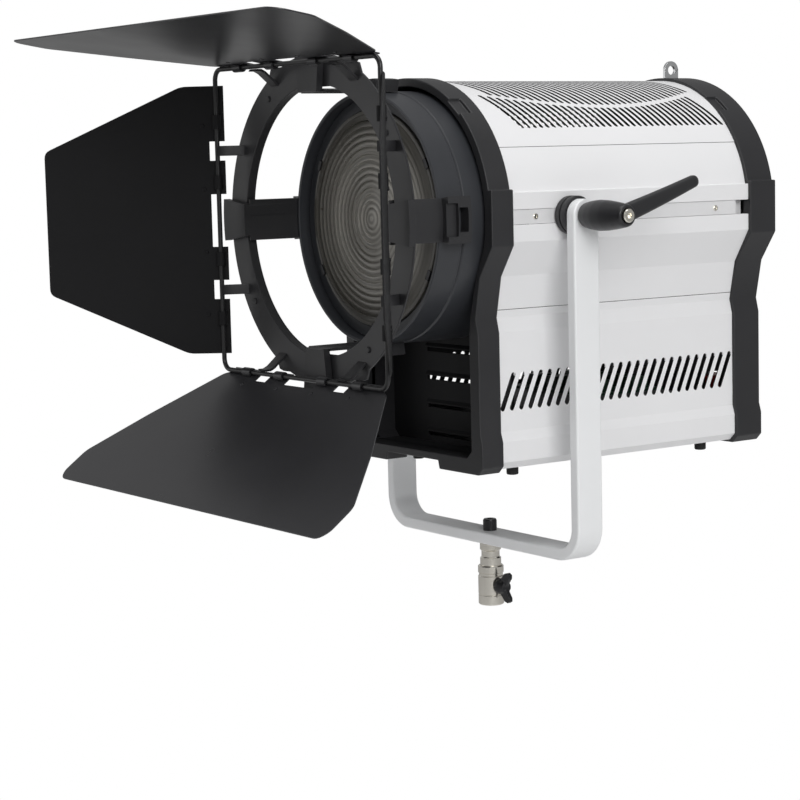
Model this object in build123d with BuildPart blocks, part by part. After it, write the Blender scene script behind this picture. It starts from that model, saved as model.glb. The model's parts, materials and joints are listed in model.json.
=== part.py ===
"""A location fresnel spotlight: a vented lamp head with barn doors, hung in a yoke on a stand receiver.

Millimetres. +X is the side of the right clamp lever, the lens faces -Y and +Z is up.
The origin is the mouth of the stand receiver's bore, on the yoke's upright axis.
Profiles of the head are drawn on across(y), a plane facing forwards whose centre is the lens axis.
"""

from build123d import *

import os
from math import asin, cos, degrees, pi, radians, sin, sqrt, tan

os.makedirs("parts", exist_ok=True)

# ---- clearances ----
RUNNING_FIT = 0.1  # radial, shaft in its own hole
SEAT_GAP = 0.2  # between a fixed piece and the face that it seats on
MOVING_GAP = 0.4  # between two bodies that pass each other
LATCH_GAP = 1.0  # under the sprung latch, which dips in front of the barrel
SEAM_GAP = 0.4  # between neighbouring housing panels

# ---- stand receiver and yoke ----
STUD_BORE_RADIUS = 8.1
STUD_BORE_DEPTH = 32
RECEIVER_RADIUS = 11
RECEIVER_LENGTH = 34
NECK_RADIUS = 9
NECK_LENGTH = 20
NECK_GROOVE = 1.2
YOKE_WIDTH = 268
YOKE_STRAP = 10
YOKE_DEPTH = 26
YOKE_DROP = 280
YOKE_BEND_RADIUS = 28
YOKE_BOLT_RADIUS = 5
YOKE_BOLT_HEAD_RADIUS = 6
YOKE_BOLT_HEAD_HEIGHT = 10
WING_SCREW_RADIUS = 3
WING_SCREW_HEIGHT = 17
WING_SPAN = 26
WING_HUB_RADIUS = 7
WING_HUB_TIP_RADIUS = 4.5
WING_HUB_LENGTH = 9

# ---- tilt pivots and clamp levers ----
PIVOT_STUD_RADIUS = 5
PIVOT_STUD_REACH = 30  # beyond the yoke's outer face
SPACER_RADIUS = 15.5
LEVER_HUB_LENGTH = 50
LEVER_HUB_BASE_RADIUS = 10
LEVER_HUB_RADIUS = 12.5
LEVER_HUB_TIP_RADIUS = 8.5
LEVER_ARM_LENGTH = 80
LEVER_ARM_ANGLE = 18  # above the horizontal, pointing rearwards
LEVER_ARM_WIDTH = 15
LEVER_ARM_TIP_WIDTH = 9
LEVER_ARM_THICKNESS = 9
LEVER_BUTTON_RADIUS = 5.5

# ---- lamp head, heights measured from the lens axis ----
AXIS_HEIGHT = RECEIVER_LENGTH + NECK_LENGTH + YOKE_DROP
ARCH_RADIUS = 113
ARCH_SIDES = 8  # flats in each half of the arch
TUBE_SIDES = 48
SHAFT_SIDES = 16
RAIL_HALF_WIDTH = 115
RAIL_HALF_HEIGHT = 22
SHOULDER_HALF_WIDTH = 98
SHOULDER_DROP = 47
GROOVE_HALF_WIDTH = 91
GROOVE_DROP = 80
WAIST_HALF_WIDTH = 94
WAIST_DROP = 92
NOTCH_DROP = 172
NOTCH_HEIGHT = 8
FOOT_HALF_WIDTH = 96.5
FOOT_DROP = 205
FOOT_CORNER = 6
FRONT_FRAME_FRONT = -80
FRONT_FRAME_DEPTH = 22
SKIN_LENGTH = 256
REAR_FRAME_DEPTH = 30
SKIN_INSET = 2.5  # skin sits this far inside the frames' outline
SKIN = 1.5
ROOF_SEAM_HEIGHT = 55
LOWER_SEAM_DROP = 74
BOTTOM_SEAM_HALF_WIDTH = 78

# ---- recess behind the front frame ----
RECESS_RADIUS = 106
RECESS_SHOULDER_HALF_WIDTH = 92.4
RECESS_HALF_WIDTH = 82
RECESS_DROP = 192
RECESS_DEPTH = 41
RECESS_WALL = 1.5
ARCH_GAP_HALF_WIDTH = 39  # raised middle of the frame's foot
ARCH_GAP_HEIGHT = 7
BULKHEAD = 3
LOUVRE_WIDTH = 64
LOUVRE_HEIGHT = 6
LOUVRE_PITCH = 24
LOUVRE_COUNT = 4
LOUVRE_HOOD = 2.5  # reach of the hood over each louvre
LOUVRE_SHEET = 1.5
LOUVRE_LOWEST_DROP = 184

# ---- roof and flank vents ----
ROOF_SLOT_PITCH = 6.6
ROOF_SLOT_WIDTH = 3.2
ROOF_SLOT_LEAN = 24  # degrees from the crosswise direction
ROOF_BAND_EDGE = 50  # degrees from the top to the lower edge of the slotted band
ROOF_SPINE_EDGE = 3.5  # degrees from the top to the first slot
ROOF_STRIPE_LOW = 38  # degrees from the top, middle of the roof
ROOF_STRIPE_HIGH = 25  # degrees from the top, both ends of the roof
ROOF_STRIPE_WIDTH = 7
ROOF_SLOT_MARGIN = 12
FLANK_SLOT_COUNT = 26
FLANK_SLOT_PITCH = 9.5
FLANK_SLOT_WIDTH = 4.4
FLANK_SLOT_LENGTH = 33
FLANK_SLOT_LEAN = 23.5
FLANK_SLOT_DROP = 140

# ---- slots in the bottom plate ----
FLOOR_SLOT_COUNT = 9  # in each of two rows
FLOOR_SLOT_PITCH = 12
FLOOR_SLOT_WIDTH = 5
FLOOR_SLOT_LENGTH = 30

# ---- pivot rail ----
CHANNEL_HALF_HEIGHT = 6
CHANNEL_LIP = 3.6
CHANNEL_CAVITY_HALF_HEIGHT = 11
CHANNEL_CAVITY_DEPTH = 6
RAIL_WALL = 3
SLIDE_BAR_STOP = 14  # the bar ends this far before the rear frame
SLIDE_BAR_INSET = 0.6  # the bar's face stands inside the rail's face
RAIL_SCREW_SPACE = 24  # from each end of the slide bar
RAIL_SCREW_RADIUS = 2.5

# ---- barrel, lens and clips ----
BARREL_RIM_RADIUS = 102
BARREL_RIM_FRONT = -121
BARREL_RIM_LENGTH = 23
BARREL_REAR_RADIUS = 102.5
BARREL_WALL = 3
BARREL_GROOVE = 1
BARREL_LEDGE = 4
LENS_RADIUS = 88
LENS_EDGE = 5
LENS_RIM = 3
LENS_RINGS = 6
LENS_RING_HEIGHT = 3.0
LENS_CROWN_RADIUS = 10
LENS_RISER = 0.4  # lean of each ring's steep side
LENS_HOLDER_FRONT = -108
LENS_HOLDER = 3
LENS_HOLDER_OPENING = 82
LENS_TAB_COUNT = 6
LENS_TAB_WIDTH = 9
LENS_TAB_SHEET = 1.2
LENS_TAB_HOOK = 2.5
CLIP_STRAP = 2
CLIP_HALF_ANGLE = 9.5
CLIP_LIP_REACH = 136
CLIP_LIP = 6
CLIP_SADDLE_LENGTH = 24
CLIP_SADDLE_HEIGHT = 8
CLIP_WINDOW_LENGTH = 15
CLIP_WINDOW_WIDTH = 24

# ---- barn door ----
RING_RADIUS = 133
RING_OPENING = 108.5
RING_SHEET = 2
RING_FRONT = -167
RING_FLANGE = 8
LOOP_FRONT = -186  # wire centre
LOOP_HALF_WIDTH = 121
LOOP_HALF_HEIGHT = 125
LOOP_CORNER = 9
WIRE_RADIUS = 2
WIRE_SIDES = 8
BRACKET_OFFSET = 58
BRACKET_WIDTH = 12
BRACKET_SHEET = 2
LEAF_SHEET = 1.2
LEAF_LENGTH = 148
LEAF_BACK = 6  # how far the leaf reaches behind the wire
LEAF_BASE_HALF_WIDTH = 112
LEAF_NOTCH_HALF_WIDTH = 22
LEAF_NOTCH_REACH = 7  # how far each notch reaches past the wire
WIDE_LEAF_EAR = (120, 3)
WIDE_LEAF_FLANK = (168, 62)
WIDE_LEAF_SHOULDER = (205, 114)
WIDE_LEAF_TIP_HALF_WIDTH = 198
NARROW_LEAF_FLANK = 30
NARROW_LEAF_TIP_HALF_WIDTH = 60
TOP_LEAF_ANGLE = 9.5  # opening from straight ahead
BOTTOM_LEAF_ANGLE = 36
LEFT_LEAF_ANGLE = 40
RIGHT_LEAF_ANGLE = 53.6
KNUCKLE_WIDTH = 12
KNUCKLE_WALL = 1.2
KNUCKLE_OFFSETS = (32, 82)

# ---- focus drive and light engine ----
CARRIAGE_FRONT = 30
CARRIAGE = 4
FOCUS_TRAVEL = 55  # each way from rest
RAIL_ROD_RADIUS = 4
RAIL_ROD_OFFSET = 80
FOCUS_SCREW_RADIUS = 4
FOCUS_SCREW_DROP = 88
FOCUS_KNOB_RADIUS = 15
FOCUS_KNOB_LENGTH = 22
LED_BOARD = 70
LED_BOARD_THICKNESS = 4
LED_EMITTER_RADIUS = 20
REFLECTOR_LENGTH = 35
REFLECTOR_BACK_RADIUS = 25
REFLECTOR_FRONT_RADIUS = 38
REFLECTOR_WALL = 1.5
REFLECTOR_SIDES = 24
HEAT_SINK_SIZE = 100
HEAT_SINK_DEPTH = 50
HEAT_SINK_BASE = 8
HEAT_SINK_FINS = 11
HEAT_SINK_FIN = 2.4
FAN_SIZE = 92
FAN_DEPTH = 25
FAN_BORE_RADIUS = 43
FAN_HUB_RADIUS = 18
FAN_BLADES = 7
FAN_SIDES = 24

# ---- rear panel and what is on it ----
REAR_PANEL_INSET = 14  # from the rear frame's back face to the panel's back face
REAR_PANEL = 3
GRILLE_CENTRE_HEIGHT = 25
GRILLE_RADIUS = 48
GRILLE_SLOT = 5
GRILLE_PITCH = 10
DISPLAY_CENTRE = (-48, -84)
DISPLAY_SIZE = (54, 26)
DISPLAY_DEPTH = 2.5
KNOB_CENTRES = {"dimmer_knob": (34, -84), "colour_knob": (62, -84)}
KNOB_SIDES = 18
KNOB_RADIUS = 10
KNOB_LENGTH = 15
KNOB_SHAFT_RADIUS = 3
BUTTON_CENTRES = [(-69, -110), (-55, -110), (-41, -110), (-27, -110)]
BUTTON_RADIUS = 4
BUTTON_STAND = 3
BUTTON_TRAVEL = 2
SOCKET_CENTRES = [(-62, -158), (-30, -158)]
SOCKET_PLATE = (26, 31)
SOCKET_RADIUS = 11
SOCKET_DEPTH = 22
SOCKET_FLANGE = 2
INLET_CENTRE = (8, -158)
INLET_SIZE = (28, 22)
INLET_RIM = 3
INLET_WALL = 2.2
INLET_PINS = ((-7, -2), (0, 3), (7, -2))
INLET_PIN_SIZE = (2, 4)
ROCKER_CENTRE = (54, -158)
ROCKER_SIZE = (14, 22)
ROCKER_TILT = 8
ROCKER_STAND = 3.5  # beyond the panel's back face, and behind its front face
SUPPLY_SIZE = (150, 165, 44)
SUPPLY_FRONT = -15
BOARD_SIZE = (110, 80, 12)
RUBBER_FOOT_RADIUS = 5
RUBBER_FOOT_HEIGHT = 9.5
RUBBER_FOOT_OFFSET = 66
EYE_HOLE_RADIUS = 4
EYE_SHEET = 2.5
EYE_RADIUS = 8

# ---- worked out from the sizes above ----
FRONT_FRAME_BACK = FRONT_FRAME_FRONT + FRONT_FRAME_DEPTH
SKIN_BACK = FRONT_FRAME_BACK + SKIN_LENGTH
REAR_FRAME_BACK = SKIN_BACK + REAR_FRAME_DEPTH
PANEL_BACK = REAR_FRAME_BACK - REAR_PANEL_INSET
PANEL_FRONT = PANEL_BACK - REAR_PANEL
BULKHEAD_FRONT = FRONT_FRAME_FRONT + RECESS_DEPTH
BULKHEAD_BACK = BULKHEAD_FRONT + BULKHEAD
SKIN_RADIUS = ARCH_RADIUS - SKIN_INSET
RAIL_FACE = RAIL_HALF_WIDTH - SKIN_INSET
YOKE_INSIDE = YOKE_WIDTH / 2 - YOKE_STRAP
HOUSING_FLOOR = -FOOT_DROP + SKIN_INSET + SKIN
CHANNEL_DEPTH = CHANNEL_LIP + CHANNEL_CAVITY_DEPTH


def across(y):
    """A plane facing forwards at y: its x is X, its y is the height above the lens axis."""
    return Plane(origin=(0, y, AXIS_HEIGHT), x_dir=(1, 0, 0), z_dir=(0, -1, 0))


def flank(side):
    """The upright plane of the lens axis that faces sideways: side is 1 for right, -1 for left."""
    return Plane(origin=(0, 0, AXIS_HEIGHT), x_dir=(0, side, 0), z_dir=(side, 0, 0))


def keep(piece, label):
    """Names a finished piece and writes it to its own file."""
    piece.part.label = label
    export_step(piece.part, f"parts/{label}.step")


def arch_points(radius, start, sides):
    """Points of an arch about the lens axis, from its right foot up to its top."""
    turns = [radians(start + (90 - start) * i / sides) for i in range(sides)]
    return [(radius * cos(turn), radius * sin(turn)) for turn in turns] + [(0, radius)]


def tube(outer, inner, front, back):
    """A round-looking tube about the lens axis, made many-sided to keep its facets few."""
    with BuildSketch(across(back)) as section:
        RegularPolygon(outer, TUBE_SIDES)
        RegularPolygon(inner, TUBE_SIDES, mode=Mode.SUBTRACT)
    extrude(section.sketch, amount=back - front)


def turned(place, profile, sides, hollow=False):
    """A turned solid of flat facets. The profile lists (radius, distance along place's z) from end to end."""

    def corner(i, radius, distance):
        turn = 2 * pi * i / sides
        return place.from_local_coords(Vector(radius * cos(turn), radius * sin(turn), distance))

    ends = [] if hollow else [profile[0], profile[-1]]
    faces = [Face(Wire.make_polygon([corner(i, *end) for i in range(sides)])) for end in ends]
    for near, far in zip(profile, profile[1:] + (profile[:1] if hollow else [])):
        for i in range(sides):
            square = (corner(i, *near), corner(i + 1, *near), corner(i + 1, *far), corner(i, *far))
            faces.append(Face(Wire.make_polygon(square)))
    return Solid(Shell(faces))


def shaft(radius):
    """The section of a small shaft, many-sided to keep its facets few; the radius is to its corners."""
    RegularPolygon(radius, SHAFT_SIDES)


def shaft_hole(radius, gap):
    """A hole whose flats clear a shaft's corners by the gap."""
    RegularPolygon(radius + gap, SHAFT_SIDES, major_radius=False, mode=Mode.SUBTRACT)


def head_outline(inset):
    """The stepped outline of the head, drawn inset from the frames' outer edge."""
    arch = ARCH_RADIUS - inset
    rail_top = RAIL_HALF_HEIGHT - inset
    foot = -FOOT_DROP + inset
    start = degrees(asin(rail_top / arch))
    with BuildSketch(mode=Mode.PRIVATE) as outline:
        with BuildLine():
            Polyline(
                *reversed(arch_points(arch, start, ARCH_SIDES)),
                (RAIL_HALF_WIDTH - inset, rail_top),
                (RAIL_HALF_WIDTH - inset, -rail_top),
                (SHOULDER_HALF_WIDTH - inset, -SHOULDER_DROP),
                (GROOVE_HALF_WIDTH - inset, -GROOVE_DROP),
                (WAIST_HALF_WIDTH - inset, -WAIST_DROP),
                (WAIST_HALF_WIDTH - inset, -NOTCH_DROP),
                (FOOT_HALF_WIDTH - inset, -NOTCH_DROP - NOTCH_HEIGHT),
                (FOOT_HALF_WIDTH - inset, foot + FOOT_CORNER),
                (FOOT_HALF_WIDTH - inset - FOOT_CORNER, foot),
                (0, foot),
                close=True,
            )
        make_face()
        mirror(about=Plane.YZ)
    return outline.sketch


def recess_outline(grow):
    """The smooth opening inside both frames, drawn grown by a wall or shrunk by a gap."""
    arch = RECESS_RADIUS + grow
    start = -degrees(asin(RAIL_HALF_HEIGHT / arch))
    wall = RECESS_HALF_WIDTH + grow
    with BuildSketch(mode=Mode.PRIVATE) as outline:
        with BuildLine():
            Polyline(
                *reversed(arch_points(arch, start, ARCH_SIDES + 1)),
                (RECESS_SHOULDER_HALF_WIDTH + grow, -SHOULDER_DROP),
                (wall + 1.5, -GROOVE_DROP),
                (wall, -WAIST_DROP),
                (wall, -RECESS_DROP + FOOT_CORNER - grow),
                (wall - FOOT_CORNER, -RECESS_DROP - grow),
                (0, -RECESS_DROP - grow),
                close=True,
            )
        make_face()
        mirror(about=Plane.YZ)
    return outline.sketch


# ======== yoke and stand receiver ========

with BuildPart() as yoke_strap:
    with BuildSketch(Plane.XZ) as strap_line:
        with Locations((0, AXIS_HEIGHT - YOKE_DROP / 2)):
            Rectangle(YOKE_WIDTH, YOKE_DROP)
        with Locations((0, AXIS_HEIGHT - YOKE_DROP / 2 + YOKE_STRAP)):
            Rectangle(YOKE_INSIDE * 2, YOKE_DROP, mode=Mode.SUBTRACT)
        rows = strap_line.vertices().group_by(Axis.Y)
        fillet(rows[0], YOKE_BEND_RADIUS)
        fillet(rows[1], YOKE_BEND_RADIUS - YOKE_STRAP)
    extrude(amount=YOKE_DEPTH / 2, both=True)
    # both arm ends are rounded about the tilt axis
    with BuildSketch(Plane.YZ.offset(-YOKE_WIDTH / 2)):
        with Locations((0, AXIS_HEIGHT)):
            Circle(YOKE_DEPTH / 2)
    extrude(amount=YOKE_STRAP)
    with BuildSketch(Plane.YZ.offset(YOKE_INSIDE)):
        with Locations((0, AXIS_HEIGHT)):
            Circle(YOKE_DEPTH / 2)
    extrude(amount=YOKE_STRAP)
    with Locations(Plane.YZ.offset(YOKE_WIDTH / 2)):
        with Locations((0, AXIS_HEIGHT)):
            Hole(PIVOT_STUD_RADIUS + RUNNING_FIT)
    with Locations((0, 0, AXIS_HEIGHT - YOKE_DROP + YOKE_STRAP)):
        Hole(YOKE_BOLT_RADIUS + RUNNING_FIT, depth=YOKE_STRAP)
keep(yoke_strap, "yoke_strap")

with BuildPart() as stand_socket:
    neck_top = RECEIVER_LENGTH + NECK_LENGTH
    groove = NECK_RADIUS - NECK_GROOVE
    profile = [
        (RECEIVER_RADIUS, 0),
        (RECEIVER_RADIUS, RECEIVER_LENGTH),
        (NECK_RADIUS, RECEIVER_LENGTH),
        (NECK_RADIUS, RECEIVER_LENGTH + NECK_LENGTH / 3),
        (groove, RECEIVER_LENGTH + NECK_LENGTH / 3),
        (groove, RECEIVER_LENGTH + NECK_LENGTH * 2 / 3),
        (NECK_RADIUS, RECEIVER_LENGTH + NECK_LENGTH * 2 / 3),
        (NECK_RADIUS, neck_top),
    ]
    add(turned(Plane.XY, profile, FAN_SIDES))
    with Locations(Plane.XY.rotated((180, 0, 0))):
        Hole(STUD_BORE_RADIUS, depth=STUD_BORE_DEPTH)
    with Locations((0, 0, RECEIVER_LENGTH + NECK_LENGTH)):
        Hole(YOKE_BOLT_RADIUS + RUNNING_FIT, depth=NECK_LENGTH - 2)
    with Locations(Plane.YZ.offset(RECEIVER_RADIUS)):
        with Locations((0, WING_SCREW_HEIGHT)):
            Hole(WING_SCREW_RADIUS + RUNNING_FIT, depth=RECEIVER_RADIUS)
keep(stand_socket, "stand_socket")

with BuildPart() as yoke_bolt:
    floor = AXIS_HEIGHT - YOKE_DROP + YOKE_STRAP
    with BuildSketch(Plane.XY.offset(floor)):
        RegularPolygon(YOKE_BOLT_HEAD_RADIUS, FAN_SIDES)
    extrude(amount=YOKE_BOLT_HEAD_HEIGHT)
    chamfer(edges().group_by(Axis.Z)[-1], 1)
    with BuildSketch(Plane.XY.offset(floor + YOKE_BOLT_HEAD_HEIGHT)):
        RegularPolygon(YOKE_BOLT_HEAD_RADIUS / 2, 6)
    extrude(amount=-YOKE_BOLT_HEAD_HEIGHT / 2, mode=Mode.SUBTRACT)
    with BuildSketch(Plane.XY.offset(floor)):
        Circle(YOKE_BOLT_RADIUS)
    extrude(amount=-(YOKE_STRAP + NECK_LENGTH - 3))
keep(yoke_bolt, "yoke_bolt")

# The wing screw turns about X; its tip stands just outside the bore.
with BuildPart() as wing_screw:
    hub_start = RECEIVER_RADIUS + 2
    with BuildSketch(Plane.YZ.offset(STUD_BORE_RADIUS + MOVING_GAP)):
        with Locations((0, WING_SCREW_HEIGHT)):
            Circle(WING_SCREW_RADIUS)
    extrude(amount=hub_start - STUD_BORE_RADIUS)
    hub = Plane(origin=(hub_start, 0, WING_SCREW_HEIGHT), x_dir=(0, 1, 0), z_dir=(1, 0, 0))
    add(turned(hub, [(WING_HUB_RADIUS, 0), (WING_HUB_TIP_RADIUS, WING_HUB_LENGTH)], SHAFT_SIDES))
    for turn in (1, -1):
        with BuildSketch(Plane.XZ):
            with BuildLine():
                mid = WING_SCREW_HEIGHT
                root_x = hub_start + 2
                tip_z = mid + turn * WING_SPAN / 2
                Polyline((root_x, mid), (root_x, mid + turn * 6), (root_x + 7, tip_z))
                ThreePointArc(
                    (root_x + 7, tip_z),
                    (root_x + 12, tip_z + turn * 0.5),
                    (root_x + 13, tip_z - turn * 4),
                )
                Polyline((root_x + 13, tip_z - turn * 4), (root_x + 6, mid), (root_x, mid))
            make_face()
        extrude(amount=2.2, both=True)
keep(wing_screw, "wing_screw")

with BuildPart() as pivot_spacers:
    for side in (1, -1):
        with BuildSketch(flank(side).offset(RAIL_FACE + MOVING_GAP)):
            Circle(SPACER_RADIUS)
            Circle(PIVOT_STUD_RADIUS + RUNNING_FIT, mode=Mode.SUBTRACT)
        extrude(amount=YOKE_INSIDE - RAIL_FACE - MOVING_GAP)
keep(pivot_spacers, "pivot_spacers")

# ======== clamp levers ========


def clamp_lever(side):
    """The moulded handle: a barrel-shaped hub on the stud and a flat tapering arm off its outer end."""
    base = YOKE_WIDTH / 2 + MOVING_GAP
    with BuildPart() as lever:
        profile = [
            (LEVER_HUB_BASE_RADIUS, 0),
            (LEVER_HUB_RADIUS, LEVER_HUB_LENGTH / 3),
            (LEVER_HUB_TIP_RADIUS, LEVER_HUB_LENGTH),
        ]
        add(turned(flank(side).offset(base), profile, FAN_SIDES))
        # the arm leaves the hub's outer end and leans away from the housing
        arm_plane = flank(side).offset(base + LEVER_HUB_LENGTH - LEVER_ARM_THICKNESS - 4)
        start = Plane(
            origin=arm_plane.origin,
            x_dir=(0, cos(radians(LEVER_ARM_ANGLE)), sin(radians(LEVER_ARM_ANGLE))),
            z_dir=(side, 0, 0),
        )
        with BuildSketch(start):
            with BuildLine():
                half, tip = LEVER_ARM_WIDTH / 2, LEVER_ARM_TIP_WIDTH / 2
                Polyline((LEVER_ARM_LENGTH, tip), (0, half), (0, -half), (LEVER_ARM_LENGTH, -tip))
                ThreePointArc(
                    (LEVER_ARM_LENGTH, -tip), (LEVER_ARM_LENGTH + tip, 0), (LEVER_ARM_LENGTH, tip)
                )
            make_face()
        extrude(amount=LEVER_ARM_THICKNESS)
        with BuildSketch(flank(side).offset(base)):
            Circle(PIVOT_STUD_RADIUS + RUNNING_FIT)
        extrude(amount=PIVOT_STUD_REACH + 2, mode=Mode.SUBTRACT)
        with BuildSketch(flank(side).offset(base + LEVER_HUB_LENGTH)):
            Circle(LEVER_BUTTON_RADIUS + SEAT_GAP)
        extrude(amount=-4, mode=Mode.SUBTRACT)
    return lever


for side, name in ((1, "right"), (-1, "left")):
    lever = clamp_lever(side)
    keep(lever, f"{name}_lever")
    with BuildPart() as button:
        with BuildSketch(flank(side).offset(YOKE_WIDTH / 2 + MOVING_GAP + LEVER_HUB_LENGTH - 4)):
            Circle(LEVER_BUTTON_RADIUS)
        extrude(amount=5.5)
        chamfer(edges().group_by(Axis.X)[-1 if side > 0 else 0], 0.8)
        with BuildSketch(flank(side).offset(YOKE_WIDTH / 2 + MOVING_GAP + LEVER_HUB_LENGTH + 1.5)):
            RegularPolygon(2.2, 6)
        extrude(amount=-3, mode=Mode.SUBTRACT)
    keep(button, f"{name}_lever_button")

# ======== housing frames ========

with BuildPart() as front_frame:
    with BuildSketch(across(FRONT_FRAME_BACK)):
        add(head_outline(0))
        add(recess_outline(0), mode=Mode.SUBTRACT)
        with Locations((0, -FOOT_DROP + ARCH_GAP_HEIGHT / 2)):
            Rectangle(2 * ARCH_GAP_HALF_WIDTH, ARCH_GAP_HEIGHT, mode=Mode.SUBTRACT)
    extrude(amount=FRONT_FRAME_DEPTH)
    with BuildSketch(across(BULKHEAD_FRONT)):
        add(recess_outline(RECESS_WALL))
        add(recess_outline(0), mode=Mode.SUBTRACT)
    extrude(amount=BULKHEAD_FRONT - FRONT_FRAME_BACK)
keep(front_frame, "front_frame")

with BuildPart() as rear_frame:
    with BuildSketch(across(REAR_FRAME_BACK)):
        add(head_outline(0))
        add(recess_outline(0), mode=Mode.SUBTRACT)
    extrude(amount=REAR_FRAME_DEPTH)
keep(rear_frame, "rear_frame")

with BuildPart() as front_bulkhead:
    with BuildSketch(across(BULKHEAD_BACK)):
        add(recess_outline(RECESS_WALL))
        RegularPolygon(BARREL_RIM_RADIUS - BARREL_WALL - BARREL_LEDGE, TUBE_SIDES, mode=Mode.SUBTRACT)
        first = -LOUVRE_LOWEST_DROP
        louvre_heights = [first + LOUVRE_PITCH * i for i in range(LOUVRE_COUNT)]
        with Locations([(0, h) for h in louvre_heights]):
            Rectangle(LOUVRE_WIDTH, LOUVRE_HEIGHT, mode=Mode.SUBTRACT)
    extrude(amount=BULKHEAD)
    # a hood over each louvre throws the rain and the light down
    for h in louvre_heights:
        with BuildSketch(Plane(origin=(-LOUVRE_WIDTH / 2, BULKHEAD_FRONT, AXIS_HEIGHT + h),
                               x_dir=(0, -1, 0), z_dir=(1, 0, 0))):
            with BuildLine():
                top = LOUVRE_HEIGHT / 2
                Polyline(
                    (0, -top),
                    (0, -top - LOUVRE_SHEET),
                    (LOUVRE_HOOD, LOUVRE_HOOD - LOUVRE_SHEET - top),
                    (LOUVRE_HOOD, LOUVRE_HOOD - top),
                    close=True,
                )
            make_face()
        extrude(amount=LOUVRE_WIDTH)
keep(front_bulkhead, "front_bulkhead")

# ======== housing skin ========


def skin_region(keep_box):
    """The skin's section, cut to the part of it that a box covers: (x0, z0, x1, z1)."""
    x0, z0, x1, z1 = keep_box
    with BuildSketch(mode=Mode.PRIVATE) as region:
        add(head_outline(SKIN_INSET))
        add(head_outline(SKIN_INSET + SKIN), mode=Mode.SUBTRACT)
        with Locations(((x0 + x1) / 2, (z0 + z1) / 2)):
            Rectangle(x1 - x0, z1 - z0, mode=Mode.INTERSECT)
    return region.sketch


FAR = 2 * FOOT_DROP
HALF_SEAM = SEAM_GAP / 2


def stripe_angle(y):
    """How far from the top the plain stripe runs, in degrees: lowest in the middle of the roof."""
    middle = (FRONT_FRAME_BACK + SKIN_BACK) / 2
    share = (y - middle) / (SKIN_LENGTH / 2)
    return ROOF_STRIPE_LOW + (ROOF_STRIPE_HIGH - ROOF_STRIPE_LOW) * share**2


def roof_slots():
    """One cutter for each slanted slot of both bands, on both sides of the spine."""
    half_stripe = degrees(ROOF_STRIPE_WIDTH / 2 / SKIN_RADIUS)
    drift = SKIN_RADIUS * tan(radians(ROOF_SLOT_LEAN))
    first = FRONT_FRAME_BACK + ROOF_SLOT_MARGIN
    count = int((SKIN_LENGTH - 2 * ROOF_SLOT_MARGIN) / ROOF_SLOT_PITCH)
    cutters = []
    for i in range(count + 1):
        y = first + i * ROOF_SLOT_PITCH
        split = stripe_angle(y)
        for inner, outer in ((ROOF_SPINE_EDGE, split - half_stripe), (split + half_stripe, ROOF_BAND_EDGE)):
            angle = (inner + outer) / 2
            reach = radians(outer - inner) * SKIN_RADIUS
            middle = y + drift * radians(angle - ROOF_BAND_EDGE / 2)
            end = abs(middle - (FRONT_FRAME_BACK + SKIN_BACK) / 2) + reach * tan(radians(ROOF_SLOT_LEAN)) / 2
            if end > SKIN_LENGTH / 2 - 3:
                continue
            for side in (1, -1):
                turned = Rotation(0, side * angle, 0) * Pos(0, 0, SKIN_RADIUS - SKIN)
                leaned = Rotation(0, 0, -side * (90 - ROOF_SLOT_LEAN))
                length = reach / cos(radians(ROOF_SLOT_LEAN))
                blade = leaned * Box(ROOF_SLOT_WIDTH, length, 8, mode=Mode.PRIVATE)
                cutters.append(Pos(0, middle, AXIS_HEIGHT) * turned * blade)
    return cutters


with BuildPart() as roof_cover:
    with BuildSketch(across(SKIN_BACK)):
        add(skin_region((-FAR, ROOF_SEAM_HEIGHT + HALF_SEAM, FAR, FAR)))
    extrude(amount=SKIN_LENGTH)
    add(roof_slots(), mode=Mode.SUBTRACT)
keep(roof_cover, "roof_cover")

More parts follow.
